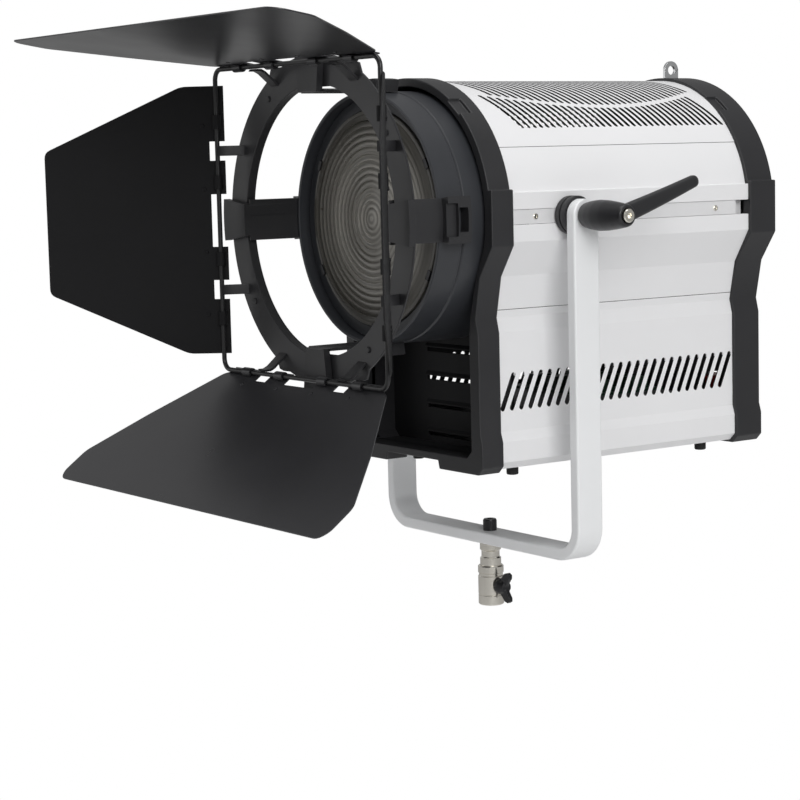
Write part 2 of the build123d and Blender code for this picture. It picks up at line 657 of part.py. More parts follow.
for side, name in ((1, "right"), (-1, "left")):
    with BuildPart() as side_panel:
        with BuildSketch(across(SKIN_BACK)):
            near, far = sorted((0, side * FAR))
            add(skin_region((near, -LOWER_SEAM_DROP + HALF_SEAM, far, ROOF_SEAM_HEIGHT - HALF_SEAM)))
        extrude(amount=SKIN_LENGTH)
        # behind the recess the pivot rail is thick enough to hold the T-shaped channel
        with BuildSketch(across(SKIN_BACK)):
            depth = CHANNEL_DEPTH + RAIL_WALL
            with Locations((side * (RAIL_FACE - depth / 2), 0)):
                Rectangle(depth, 2 * (RAIL_HALF_HEIGHT - SKIN_INSET - SKIN))
        extrude(amount=SKIN_BACK - BULKHEAD_BACK - SEAT_GAP)
        with BuildSketch(across(SKIN_BACK)):
            with Locations((side * (RAIL_FACE - CHANNEL_LIP / 2), 0)):
                Rectangle(CHANNEL_LIP, 2 * CHANNEL_HALF_HEIGHT)
            with Locations((side * (RAIL_FACE - CHANNEL_LIP - CHANNEL_CAVITY_DEPTH / 2), 0)):
                Rectangle(CHANNEL_CAVITY_DEPTH, 2 * CHANNEL_CAVITY_HALF_HEIGHT)
        extrude(amount=SKIN_LENGTH, mode=Mode.SUBTRACT)
    keep(side_panel, f"{name}_side_panel")

    with BuildPart() as lower_panel:
        with BuildSketch(across(SKIN_BACK)):
            near, far = sorted((side * (BOTTOM_SEAM_HALF_WIDTH + HALF_SEAM), side * FAR))
            add(skin_region((near, -FAR, far, -LOWER_SEAM_DROP - HALF_SEAM)))
        extrude(amount=SKIN_LENGTH)
        middle = (FRONT_FRAME_BACK + SKIN_BACK) / 2
        first = middle - FLANK_SLOT_PITCH * (FLANK_SLOT_COUNT - 1) / 2
        with BuildSketch(flank(side).offset(WAIST_HALF_WIDTH - SKIN_INSET - 2 * SKIN)):
            stations = [first + i * FLANK_SLOT_PITCH for i in range(FLANK_SLOT_COUNT)]
            with Locations([(side * station, -FLANK_SLOT_DROP) for station in stations]):
                Rectangle(FLANK_SLOT_LENGTH, FLANK_SLOT_WIDTH, rotation=90 - side * FLANK_SLOT_LEAN)
        extrude(amount=4 * SKIN, mode=Mode.SUBTRACT)
    keep(lower_panel, f"{name}_lower_panel")

with BuildPart() as bottom_plate:
    with BuildSketch(across(SKIN_BACK)):
        inside = BOTTOM_SEAM_HALF_WIDTH - HALF_SEAM
        add(skin_region((-inside, -FAR, inside, -WAIST_DROP)))
    extrude(amount=SKIN_LENGTH)
    with BuildSketch(Plane.XY.offset(AXIS_HEIGHT - FOOT_DROP)):
        with Locations((0, SKIN_BACK - SKIN_LENGTH / 4)):
            row_pitch = FLOOR_SLOT_LENGTH + 2 * FLOOR_SLOT_WIDTH
            with GridLocations(FLOOR_SLOT_PITCH, row_pitch, FLOOR_SLOT_COUNT, 2):
                Rectangle(FLOOR_SLOT_WIDTH, FLOOR_SLOT_LENGTH)
    extrude(amount=2 * (SKIN_INSET + SKIN), mode=Mode.SUBTRACT)
keep(bottom_plate, "bottom_plate")

with BuildPart() as rubber_feet:
    top = AXIS_HEIGHT - FOOT_DROP + SKIN_INSET
    lines = (BULKHEAD_BACK + 2 * RUBBER_FOOT_RADIUS, SKIN_BACK - 3 * RUBBER_FOOT_RADIUS)
    with BuildSketch(Plane.XY.offset(top)):
        with Locations([(x, y) for x in (-RUBBER_FOOT_OFFSET, RUBBER_FOOT_OFFSET) for y in lines]):
            RegularPolygon(RUBBER_FOOT_RADIUS, 16)
    extrude(amount=-RUBBER_FOOT_HEIGHT)
keep(rubber_feet, "rubber_feet")

# ======== slide bars in the rails, and the studs that they carry ========

with BuildPart() as slide_bars:
    for side in (1, -1):
        stem = CHANNEL_HALF_HEIGHT - SEAT_GAP
        flange = CHANNEL_CAVITY_HALF_HEIGHT - SEAT_GAP
        face = RAIL_FACE - SLIDE_BAR_INSET
        shelf = RAIL_FACE - CHANNEL_LIP - SEAT_GAP
        with BuildSketch(across(SKIN_BACK - SLIDE_BAR_STOP)):
            with Locations((side * (face + shelf) / 2, 0)):
                Rectangle(face - shelf, 2 * stem)
        extrude(amount=SKIN_LENGTH - SLIDE_BAR_STOP)
        with BuildSketch(across(SKIN_BACK - SLIDE_BAR_STOP)):
            with Locations((side * (shelf - (CHANNEL_CAVITY_DEPTH - 2 * SEAT_GAP) / 2), 0)):
                Rectangle(CHANNEL_CAVITY_DEPTH - 2 * SEAT_GAP, 2 * flange)
        extrude(amount=SKIN_BACK - SLIDE_BAR_STOP - BULKHEAD_BACK - SEAT_GAP)
keep(slide_bars, "slide_bars")

with BuildPart() as pivot_studs:
    for side in (1, -1):
        with BuildSketch(flank(side).offset(RAIL_FACE - SLIDE_BAR_INSET)):
            Circle(PIVOT_STUD_RADIUS)
        extrude(amount=YOKE_WIDTH / 2 + PIVOT_STUD_REACH - RAIL_FACE + SLIDE_BAR_INSET)
keep(pivot_studs, "pivot_studs")

with BuildPart() as rail_screws:
    for side in (1, -1):
        for y in (FRONT_FRAME_BACK + RAIL_SCREW_SPACE, SKIN_BACK - SLIDE_BAR_STOP - RAIL_SCREW_SPACE):
            with BuildSketch(flank(side).offset(RAIL_FACE - SLIDE_BAR_INSET)):
                with Locations((side * y, 0)):
                    RegularPolygon(RAIL_SCREW_RADIUS, 12)
                    RegularPolygon(RAIL_SCREW_RADIUS / 2, 6, mode=Mode.SUBTRACT)
            extrude(amount=1)
keep(rail_screws, "rail_screws")

# ======== barrel, lens and accessory clips ========

with BuildPart() as barrel:
    inner = BARREL_RIM_RADIUS - BARREL_WALL
    rim_back = BARREL_RIM_FRONT + BARREL_RIM_LENGTH
    tube(BARREL_RIM_RADIUS, inner, BARREL_RIM_FRONT, rim_back)
    tube(BARREL_REAR_RADIUS, inner, rim_back + BARREL_GROOVE, BULKHEAD_FRONT)
    tube(BARREL_RIM_RADIUS - BARREL_GROOVE, inner, rim_back, rim_back + BARREL_GROOVE)
    tube(inner, inner - BARREL_LEDGE, BULKHEAD_FRONT - BARREL_WALL, BULKHEAD_FRONT)
keep(barrel, "barrel")

with BuildPart() as lens_holder:
    with BuildSketch(across(LENS_HOLDER_FRONT + LENS_HOLDER)):
        RegularPolygon(BARREL_RIM_RADIUS - BARREL_WALL - SEAT_GAP, TUBE_SIDES)
        RegularPolygon(LENS_HOLDER_OPENING, TUBE_SIDES, mode=Mode.SUBTRACT)
    extrude(amount=LENS_HOLDER)
keep(lens_holder, "lens_holder")


def lens_section():
    """The lens's section from its back edge to its crown: a plain rim, then prism rings."""
    step = (LENS_RADIUS - LENS_RIM - LENS_CROWN_RADIUS) / LENS_RINGS
    section = [(LENS_RADIUS, 0), (LENS_RADIUS, LENS_EDGE)]
    for i in range(LENS_RINGS):
        valley = LENS_RADIUS - LENS_RIM - i * step
        section += [(valley, LENS_EDGE), (valley - step + LENS_RISER, LENS_EDGE + LENS_RING_HEIGHT)]
    crown = LENS_CROWN_RADIUS
    return section + [(crown, LENS_EDGE), (crown - LENS_RISER, LENS_EDGE + LENS_RING_HEIGHT)]


with BuildPart() as fresnel_lens:
    add(turned(across(LENS_HOLDER_FRONT), lens_section(), TUBE_SIDES))
keep(fresnel_lens, "fresnel_lens")

with BuildPart() as lens_tabs:
    for i in range(LENS_TAB_COUNT):
        turn = 360 / LENS_TAB_COUNT * i + 30
        tab_plane = Plane(
            origin=(0, 0, AXIS_HEIGHT),
            x_dir=(cos(radians(turn)), 0, sin(radians(turn))),
            z_dir=(sin(radians(turn)), 0, -cos(radians(turn))),
        )
        with BuildSketch(tab_plane):
            with BuildLine():
                out = BARREL_RIM_RADIUS - BARREL_WALL - 1
                hook = LENS_EDGE + SEAT_GAP
                Polyline(
                    (out, -LENS_HOLDER_FRONT),
                    (LENS_RADIUS + SEAT_GAP, -LENS_HOLDER_FRONT),
                    (LENS_RADIUS + SEAT_GAP, -LENS_HOLDER_FRONT + hook),
                    (LENS_RADIUS - LENS_TAB_HOOK, -LENS_HOLDER_FRONT + hook),
                    (LENS_RADIUS - LENS_TAB_HOOK, -LENS_HOLDER_FRONT + hook + LENS_TAB_SHEET),
                    (LENS_RADIUS + SEAT_GAP + LENS_TAB_SHEET, -LENS_HOLDER_FRONT + hook + LENS_TAB_SHEET),
                    (LENS_RADIUS + SEAT_GAP + LENS_TAB_SHEET, -LENS_HOLDER_FRONT + LENS_TAB_SHEET),
                    (out, -LENS_HOLDER_FRONT + LENS_TAB_SHEET),
                    close=True,
                )
            make_face()
        extrude(amount=LENS_TAB_WIDTH / 2, both=True)
keep(lens_tabs, "lens_tabs")


def sector(radius_in, radius_out, middle, half_angle):
    """A piece of a flat ring, drawn about the lens axis."""
    with BuildSketch(mode=Mode.PRIVATE) as piece:
        with BuildLine():
            CenterArc((0, 0), radius_out, middle - half_angle, 2 * half_angle)
            CenterArc((0, 0), radius_in, middle - half_angle, 2 * half_angle)
            for edge in (middle - half_angle, middle + half_angle):
                c, s = cos(radians(edge)), sin(radians(edge))
                Line((radius_in * c, radius_in * s), (radius_out * c, radius_out * s))
        make_face()
    return piece.sketch


def accessory_clip(middle, gap):
    """A clip at one of the four quarters: saddle on the rim, strap through the ring, lip over its front."""
    inner = BARREL_RIM_RADIUS + gap
    outer = inner + CLIP_STRAP
    lip_back = RING_FRONT - MOVING_GAP
    saddle_back = BARREL_RIM_FRONT + CLIP_SADDLE_LENGTH
    with BuildPart() as clip:
        with BuildSketch(across(saddle_back)):
            add(sector(inner, outer, middle, CLIP_HALF_ANGLE))
        extrude(amount=saddle_back - lip_back)
        with BuildSketch(across(lip_back)):
            add(sector(inner, CLIP_LIP_REACH, middle, CLIP_HALF_ANGLE - 2))
        extrude(amount=CLIP_LIP)
        with BuildSketch(across(saddle_back)):
            add(sector(outer, outer + CLIP_SADDLE_HEIGHT, middle, CLIP_HALF_ANGLE))
        extrude(amount=CLIP_SADDLE_LENGTH - 2)
        # the window behind the strap leaves two side cheeks and a back bar
        c, s = cos(radians(middle)), sin(radians(middle))
        window = Plane(origin=(inner * c, 0, AXIS_HEIGHT + inner * s), x_dir=(0, 1, 0), z_dir=(c, 0, s))
        with BuildSketch(window.offset(-2)):
            with Locations((saddle_back - CLIP_SADDLE_LENGTH / 2, 0)):
                Rectangle(CLIP_WINDOW_LENGTH, CLIP_WINDOW_WIDTH)
        extrude(amount=2 * CLIP_SADDLE_HEIGHT, mode=Mode.SUBTRACT)
    return clip


keep(accessory_clip(0, SEAT_GAP), "right_clip")
keep(accessory_clip(180, SEAT_GAP), "left_clip")
keep(accessory_clip(-90, SEAT_GAP), "bottom_clip")
keep(accessory_clip(90, LATCH_GAP), "top_latch")

# ======== barn door ========


with BuildPart() as door_ring:
    tube(RING_RADIUS, RING_OPENING, RING_FRONT, RING_FRONT + RING_SHEET)
    tube(RING_OPENING + RING_SHEET, RING_OPENING, RING_FRONT + RING_SHEET, RING_FRONT + RING_FLANGE)
    # bent lugs stand off the ring and hold the wire on all four sides
    for ox, oz in ((0, 1), (1, 0), (0, -1), (-1, 0)):
        half = LOOP_HALF_WIDTH if ox else LOOP_HALF_HEIGHT
        side_plane = Plane(origin=(0, RING_FRONT, AXIS_HEIGHT), x_dir=(oz, 0, -ox), z_dir=(0, -1, 0))
        for x in (-BRACKET_OFFSET, BRACKET_OFFSET):
            seat = sqrt((RING_RADIUS - 1) ** 2 - (BRACKET_OFFSET + BRACKET_WIDTH / 2) ** 2)
            with BuildSketch(side_plane.offset(-RING_SHEET / 2)):
                with Locations((x, seat - 2 * BRACKET_SHEET)):
                    Rectangle(BRACKET_WIDTH, BRACKET_SHEET)
            with BuildSketch(side_plane.offset(RING_FRONT - LOOP_FRONT)):
                with Locations((x, half - WIRE_RADIUS - BRACKET_SHEET / 2 - RUNNING_FIT)):
                    Rectangle(BRACKET_WIDTH, BRACKET_SHEET)
            loft()
keep(door_ring, "door_ring")

with BuildPart() as door_loop:
    # four straight lengths of wire, then the four bends between them
    long_x, long_z = LOOP_HALF_WIDTH - LOOP_CORNER, LOOP_HALF_HEIGHT - LOOP_CORNER
    for side in (1, -1):
        middle = (side * LOOP_HALF_WIDTH, LOOP_FRONT, AXIS_HEIGHT)
        upright = Plane(origin=middle, x_dir=(1, 0, 0), z_dir=(0, 0, 1))
        with BuildSketch(upright):
            RegularPolygon(WIRE_RADIUS, WIRE_SIDES)
        extrude(amount=long_z, both=True)
        middle = (0, LOOP_FRONT, AXIS_HEIGHT + side * LOOP_HALF_HEIGHT)
        level = Plane(origin=middle, x_dir=(0, 0, 1), z_dir=(1, 0, 0))
        with BuildSketch(level):
            RegularPolygon(WIRE_RADIUS, WIRE_SIDES)
        extrude(amount=long_x, both=True)
    for sx, sz in ((1, 1), (-1, 1), (-1, -1), (1, -1)):
        centre = (sx * long_x, LOOP_FRONT, AXIS_HEIGHT + sz * long_z)
        wire_end = (sx * LOOP_HALF_WIDTH, LOOP_FRONT, AXIS_HEIGHT + sz * long_z)
        with BuildSketch(Plane(origin=wire_end, x_dir=(1, 0, 0), z_dir=(0, 0, 1))):
            RegularPolygon(WIRE_RADIUS, WIRE_SIDES)
        revolve(axis=Axis(centre, (0, -sx * sz, 0)), revolution_arc=90)
keep(door_loop, "door_loop")


def leaf_plane(outward, opening):
    """A leaf's own plane at its wire: x along the wire, y out along the leaf, z away from the beam."""
    half = LOOP_HALF_WIDTH if outward[0] else LOOP_HALF_HEIGHT
    ox, oz = outward
    c, s = cos(radians(opening)), sin(radians(opening))
    return Plane(
        origin=(ox * half, LOOP_FRONT, AXIS_HEIGHT + oz * half),
        x_dir=(-oz, 0, ox),
        z_dir=(c * ox, s, c * oz),
    )


def leaf_outline(wide):
    """Half of a leaf's outline, from its back edge to its tip: wide leaves flare, narrow ones taper."""
    if wide:
        return [
            (LEAF_BASE_HALF_WIDTH, 0),
            WIDE_LEAF_EAR,
            WIDE_LEAF_FLANK,
            WIDE_LEAF_SHOULDER,
            (WIDE_LEAF_SHOULDER[0], LEAF_LENGTH - LEAF_BACK),
            (WIDE_LEAF_TIP_HALF_WIDTH, LEAF_LENGTH),
        ]
    return [(LEAF_BASE_HALF_WIDTH, NARROW_LEAF_FLANK), (NARROW_LEAF_TIP_HALF_WIDTH, LEAF_LENGTH)]


def barn_leaf(outward, opening, wide):
    """A sheet-steel leaf with its back edge notched for the clip and lugs, and knuckles round the wire."""
    hinge = leaf_plane(outward, opening)
    seat = WIRE_RADIUS + RUNNING_FIT
    with BuildPart() as leaf:
        with BuildSketch(hinge.offset(seat)):
            with BuildLine():
                half = [(LEAF_BASE_HALF_WIDTH, -LEAF_BACK), *leaf_outline(wide)]
                Polyline((0, -LEAF_BACK), *half, (0, LEAF_LENGTH), close=True)
            make_face()
            mirror(about=Plane.YZ)
            Rectangle(2 * LEAF_NOTCH_HALF_WIDTH, 2 * LEAF_NOTCH_REACH, mode=Mode.SUBTRACT)
            with Locations((-BRACKET_OFFSET, 0), (BRACKET_OFFSET, 0)):
                Rectangle(BRACKET_WIDTH + 4, 2 * LEAF_NOTCH_REACH, mode=Mode.SUBTRACT)
        extrude(amount=LEAF_SHEET)
        outer = seat + KNUCKLE_WALL
        for x in [sign * offset for offset in KNUCKLE_OFFSETS for sign in (-1, 1)]:
            section = Plane(
                origin=hinge.from_local_coords((x - KNUCKLE_WIDTH / 2, 0, 0)),
                x_dir=hinge.y_dir,
                z_dir=hinge.x_dir,
            )
            with BuildSketch(section):
                RegularPolygon(outer, SHAFT_SIDES)
                with Locations((0, (seat + LEAF_SHEET) / 2)):
                    Rectangle(2 * outer, seat + LEAF_SHEET)
                RegularPolygon(seat, SHAFT_SIDES, major_radius=False, mode=Mode.SUBTRACT)
            extrude(amount=KNUCKLE_WIDTH)
    return leaf


keep(barn_leaf((0, 1), TOP_LEAF_ANGLE, True), "top_leaf")
keep(barn_leaf((0, -1), BOTTOM_LEAF_ANGLE, True), "bottom_leaf")
keep(barn_leaf((-1, 0), LEFT_LEAF_ANGLE, False), "left_leaf")
keep(barn_leaf((1, 0), RIGHT_LEAF_ANGLE, False), "right_leaf")

# ======== focus drive and light engine ========

with BuildPart() as focus_rails:
    with BuildSketch(across(PANEL_FRONT)):
        with Locations((-RAIL_ROD_OFFSET, 0), (RAIL_ROD_OFFSET, 0)):
            shaft(RAIL_ROD_RADIUS)
    extrude(amount=PANEL_FRONT - BULKHEAD_BACK)
keep(focus_rails, "focus_rails")

with BuildPart() as focus_screw:
    with BuildSketch(across(PANEL_BACK + FOCUS_KNOB_LENGTH / 2)):
        with Locations((0, -FOCUS_SCREW_DROP)):
            shaft(FOCUS_SCREW_RADIUS)
    extrude(amount=PANEL_BACK + FOCUS_KNOB_LENGTH / 2 - BULKHEAD_BACK - MOVING_GAP)
keep(focus_screw, "focus_screw")


def knob(radius, length, bore, centre, label):
    """A many-sided control knob with a pointer groove, just off the rear panel."""
    with BuildPart() as body:
        face = across(PANEL_BACK + MOVING_GAP + length)
        with BuildSketch(face):
            with Locations(centre):
                RegularPolygon(radius, KNOB_SIDES)
        extrude(amount=length)
        chamfer(edges().group_by(Axis.Y)[-1], 1)
        with BuildSketch(face):
            with Locations((centre[0], centre[1] + radius * 0.6)):
                Rectangle(1.4, radius * 0.8)
        extrude(amount=0.8, mode=Mode.SUBTRACT)
        with BuildSketch(across(PANEL_BACK + MOVING_GAP + length / 2)):
            with Locations(centre):
                shaft(bore)
        if label == "focus_knob":
            extrude(amount=length, mode=Mode.SUBTRACT)
        else:
            extrude(amount=length / 2 + REAR_PANEL + MOVING_GAP + 6)
    keep(body, label)


knob(FOCUS_KNOB_RADIUS, FOCUS_KNOB_LENGTH, FOCUS_SCREW_RADIUS, (0, -FOCUS_SCREW_DROP), "focus_knob")
for name, centre in KNOB_CENTRES.items():
    knob(KNOB_RADIUS, KNOB_LENGTH, KNOB_SHAFT_RADIUS, centre, name)

CARRIAGE_BACK = CARRIAGE_FRONT + CARRIAGE

with BuildPart() as focus_carriage:
    with BuildSketch(across(CARRIAGE_BACK)):
        top, low = HEAT_SINK_SIZE / 2 + 4, FOCUS_SCREW_DROP + 3 * FOCUS_SCREW_RADIUS
        with Locations((0, (top - low) / 2)):
            Rectangle(HEAT_SINK_SIZE + 12, top + low)
        Rectangle(2 * (RAIL_ROD_OFFSET + 2.5 * RAIL_ROD_RADIUS), 8 * RAIL_ROD_RADIUS)
        with Locations((-RAIL_ROD_OFFSET, 0), (RAIL_ROD_OFFSET, 0)):
            shaft_hole(RAIL_ROD_RADIUS, RUNNING_FIT)
        with Locations((0, -FOCUS_SCREW_DROP)):
            shaft_hole(FOCUS_SCREW_RADIUS, RUNNING_FIT)
    extrude(amount=CARRIAGE)
keep(focus_carriage, "focus_carriage")

with BuildPart() as led_module:
    with BuildSketch(across(CARRIAGE_FRONT)):
        Rectangle(LED_BOARD, LED_BOARD)
    extrude(amount=LED_BOARD_THICKNESS)
    with BuildSketch(across(CARRIAGE_FRONT - LED_BOARD_THICKNESS)):
        RegularPolygon(LED_EMITTER_RADIUS, FAN_SIDES)
    extrude(amount=LED_BOARD_THICKNESS / 2)
keep(led_module, "led_module")

with BuildPart() as reflector:
    profile = [
        (REFLECTOR_BACK_RADIUS, 0),
        (REFLECTOR_BACK_RADIUS + REFLECTOR_WALL, 0),
        (REFLECTOR_FRONT_RADIUS + REFLECTOR_WALL, REFLECTOR_LENGTH),
        (REFLECTOR_FRONT_RADIUS, REFLECTOR_LENGTH),
    ]
    add(turned(across(CARRIAGE_FRONT - LED_BOARD_THICKNESS), profile, REFLECTOR_SIDES, hollow=True))
keep(reflector, "reflector")

HEAT_SINK_BACK = CARRIAGE_BACK + HEAT_SINK_DEPTH

with BuildPart() as heat_sink:
    with BuildSketch(across(CARRIAGE_BACK + HEAT_SINK_BASE)):
        Rectangle(HEAT_SINK_SIZE, HEAT_SINK_SIZE)
    extrude(amount=HEAT_SINK_BASE)
    with BuildSketch(across(HEAT_SINK_BACK)):
        with GridLocations((HEAT_SINK_SIZE - HEAT_SINK_FIN) / (HEAT_SINK_FINS - 1), 0, HEAT_SINK_FINS, 1):
            Rectangle(HEAT_SINK_FIN, HEAT_SINK_SIZE)
    extrude(amount=HEAT_SINK_DEPTH - HEAT_SINK_BASE)
keep(heat_sink, "heat_sink")

FAN_BACK = HEAT_SINK_BACK + FAN_DEPTH

with BuildPart() as fan_frame:
    with BuildSketch(across(FAN_BACK)):
        Rectangle(FAN_SIZE, FAN_SIZE)
        RegularPolygon(FAN_BORE_RADIUS, FAN_SIDES, major_radius=False, mode=Mode.SUBTRACT)
    extrude(amount=FAN_DEPTH)
    with BuildSketch(across(FAN_BACK)):
        RegularPolygon(FAN_HUB_RADIUS, FAN_SIDES)
        for turn in (45, 135, 225, 315):
            with Locations(Location((0, 0), turn)):
                with Locations((FAN_BORE_RADIUS / 2 + 4, 0)):
                    Rectangle(FAN_BORE_RADIUS, 4)
    extrude(amount=2)
keep(fan_frame, "fan_frame")

with BuildPart() as fan_rotor:
    rotor_depth = FAN_DEPTH - 2 - 2 * MOVING_GAP
    with BuildSketch(across(FAN_BACK - 2 - MOVING_GAP)):
        RegularPolygon(FAN_HUB_RADIUS - 1, FAN_SIDES)
    extrude(amount=rotor_depth)
    blade_reach = FAN_BORE_RADIUS - 2 - (FAN_HUB_RADIUS - 3)
    middle = FAN_BACK - 2 - MOVING_GAP - rotor_depth / 2
    for i in range(FAN_BLADES):
        turn = Rotation(0, 360 / FAN_BLADES * i, 0)
        blade = Pos(FAN_HUB_RADIUS - 3 + blade_reach / 2, 0, 0) * Rotation(38, 0, 0)
        shape = turn * blade * Box(blade_reach, rotor_depth * 1.05, 1.6, mode=Mode.PRIVATE)
        add(Pos(0, middle, AXIS_HEIGHT) * shape)
keep(fan_rotor, "fan_rotor")

with BuildPart() as power_supply:
    with BuildSketch(Plane.XY.offset(AXIS_HEIGHT + HOUSING_FLOOR)):
        with Locations((0, SUPPLY_FRONT + SUPPLY_SIZE[1] / 2)):
            Rectangle(SUPPLY_SIZE[0], SUPPLY_SIZE[1])
    extrude(amount=SUPPLY_SIZE[2])
keep(power_supply, "power_supply")

with BuildPart() as driver_board:
    with BuildSketch(Plane.XY.offset(AXIS_HEIGHT + HOUSING_FLOOR + SUPPLY_SIZE[2])):
        with Locations((0, SUPPLY_FRONT + SUPPLY_SIZE[1] - BOARD_SIZE[1] / 2)):
            Rectangle(BOARD_SIZE[0], BOARD_SIZE[1])
    extrude(amount=2)
    with BuildSketch(Plane.XY.offset(AXIS_HEIGHT + HOUSING_FLOOR + SUPPLY_SIZE[2] + 2)):
        with Locations((0, SUPPLY_FRONT + SUPPLY_SIZE[1] - BOARD_SIZE[1] / 2)):
            with GridLocations(BOARD_SIZE[0] / 4, BOARD_SIZE[1] / 2, 4, 2):
                Rectangle(14, 18)
    extrude(amount=BOARD_SIZE[2] - 2)
keep(driver_board, "driver_board")

# ======== rear panel ========

with BuildPart() as rear_panel:
    with BuildSketch(across(PANEL_BACK)):
        add(recess_outline(-SEAT_GAP))
        rows = int(GRILLE_RADIUS / GRILLE_PITCH)
        for row in range(-rows, rows + 1):
            half = sqrt(GRILLE_RADIUS**2 - (row * GRILLE_PITCH) ** 2)
            with Locations((0, GRILLE_CENTRE_HEIGHT + row * GRILLE_PITCH)):
                Rectangle(2 * half, GRILLE_SLOT, mode=Mode.SUBTRACT)
        with Locations(DISPLAY_CENTRE):
            Rectangle(DISPLAY_SIZE[0] + 2 * SEAT_GAP, DISPLAY_SIZE[1] + 2 * SEAT_GAP, mode=Mode.SUBTRACT)
        with Locations((0, -FOCUS_SCREW_DROP)):
            shaft_hole(FOCUS_SCREW_RADIUS, RUNNING_FIT)
        with Locations(*KNOB_CENTRES.values()):
            shaft_hole(KNOB_SHAFT_RADIUS, RUNNING_FIT)
        with Locations(*BUTTON_CENTRES):
            shaft_hole(BUTTON_RADIUS, RUNNING_FIT)
        with Locations(*SOCKET_CENTRES):
            shaft_hole(SOCKET_RADIUS, SEAT_GAP)
        with Locations(INLET_CENTRE):
            Rectangle(INLET_SIZE[0] + 2 * SEAT_GAP, INLET_SIZE[1] + 2 * SEAT_GAP, mode=Mode.SUBTRACT)
        with Locations(ROCKER_CENTRE):
            Rectangle(ROCKER_SIZE[0] + 2 * MOVING_GAP, ROCKER_SIZE[1] + 6 * MOVING_GAP, mode=Mode.SUBTRACT)
    extrude(amount=REAR_PANEL)
keep(rear_panel, "rear_panel")

with BuildPart() as display_window:
    with BuildSketch(across(PANEL_BACK)):
        with Locations(DISPLAY_CENTRE):
            Rectangle(*DISPLAY_SIZE)
    extrude(amount=DISPLAY_DEPTH)
keep(display_window, "display_window")

for i, centre in enumerate(BUTTON_CENTRES):
    with BuildPart() as button:
        with BuildSketch(across(PANEL_BACK + BUTTON_STAND)):
            with Locations(centre):
                shaft(BUTTON_RADIUS)
        extrude(amount=BUTTON_STAND + REAR_PANEL + 3)
        chamfer(edges().group_by(Axis.Y)[-1], 0.6)
        with BuildSketch(across(PANEL_FRONT - MOVING_GAP)):
            with Locations(centre):
                shaft(BUTTON_RADIUS + 1.5)
        extrude(amount=2)
    keep(button, f"button_{i + 1}")

with BuildPart() as control_sockets:
    for centre in SOCKET_CENTRES:
        with BuildSketch(across(PANEL_BACK + SOCKET_FLANGE)):
            with Locations(centre):
                Rectangle(*SOCKET_PLATE)
        extrude(amount=SOCKET_FLANGE)
        with BuildSketch(across(PANEL_BACK)):
            with Locations(centre):
                shaft(SOCKET_RADIUS)
        extrude(amount=SOCKET_DEPTH)
        with BuildSketch(across(PANEL_BACK + SOCKET_FLANGE)):
            with Locations(centre):
                shaft(SOCKET_RADIUS - 1.5)
        extrude(amount=SOCKET_DEPTH - 6, mode=Mode.SUBTRACT)
        with BuildSketch(across(PANEL_BACK - 2)):
            with Locations(centre):
                with PolarLocations(5, 5):
                    RegularPolygon(1, 6)
        extrude(amount=SOCKET_DEPTH - 8)
keep(control_sockets, "control_sockets")

with BuildPart() as mains_inlet:
    with BuildSketch(across(PANEL_BACK + SOCKET_FLANGE)):
        with Locations(INLET_CENTRE):
            Rectangle(INLET_SIZE[0] + 2 * INLET_RIM, INLET_SIZE[1] + 2 * INLET_RIM)
    extrude(amount=SOCKET_FLANGE)
    with BuildSketch(across(PANEL_BACK)):
        with Locations(INLET_CENTRE):
            Rectangle(*INLET_SIZE)
    extrude(amount=SOCKET_DEPTH)
    with BuildSketch(across(PANEL_BACK + SOCKET_FLANGE)):
        with Locations(INLET_CENTRE):
            Rectangle(INLET_SIZE[0] - 2 * INLET_WALL, INLET_SIZE[1] - 2 * INLET_WALL)
    extrude(amount=SOCKET_DEPTH - 6, mode=Mode.SUBTRACT)
    with BuildSketch(across(PANEL_BACK - 2)):
        with Locations(INLET_CENTRE):
            with Locations(*INLET_PINS):
                Rectangle(*INLET_PIN_SIZE)
    extrude(amount=SOCKET_DEPTH - 8)
keep(mains_inlet, "mains_inlet")

with BuildPart() as power_rocker:
    pivot = Plane(
        origin=(ROCKER_CENTRE[0] - ROCKER_SIZE[0] / 2, PANEL_BACK, AXIS_HEIGHT + ROCKER_CENTRE[1]),
        x_dir=(0, cos(radians(ROCKER_TILT)), sin(radians(ROCKER_TILT))),
        z_dir=(1, 0, 0),
    )
    with BuildSketch(pivot):
        with BuildLine():
            half = ROCKER_SIZE[1] / 2 - 0.6
            inner = -REAR_PANEL - ROCKER_STAND
            Polyline(
                (ROCKER_STAND, -half),
                (ROCKER_STAND / 2, 0),
                (ROCKER_STAND, half),
                (inner, half - 2),
                (inner, -half + 2),
                close=True,
            )
        make_face()
    extrude(amount=ROCKER_SIZE[0])
keep(power_rocker, "power_rocker")

with BuildPart() as safety_eye:
    eye_height = ARCH_RADIUS + EYE_HOLE_RADIUS + 3
    eye_place = SKIN_BACK + REAR_FRAME_DEPTH / 2
    with BuildSketch(Plane(origin=(0, eye_place, AXIS_HEIGHT), x_dir=(0, 1, 0), z_dir=(1, 0, 0))):
        with Locations((0, eye_height)):
            Circle(EYE_RADIUS)
        with Locations((0, eye_height - EYE_RADIUS)):
            Rectangle(2 * EYE_RADIUS, 2 * EYE_RADIUS)
        with Locations((0, eye_height)):
            Circle(EYE_HOLE_RADIUS, mode=Mode.SUBTRACT)
    extrude(amount=EYE_SHEET / 2, both=True)
    with BuildSketch(across(REAR_FRAME_BACK)):
        add(head_outline(0))
    extrude(amount=REAR_FRAME_DEPTH, mode=Mode.SUBTRACT)
keep(safety_eye, "safety_eye")
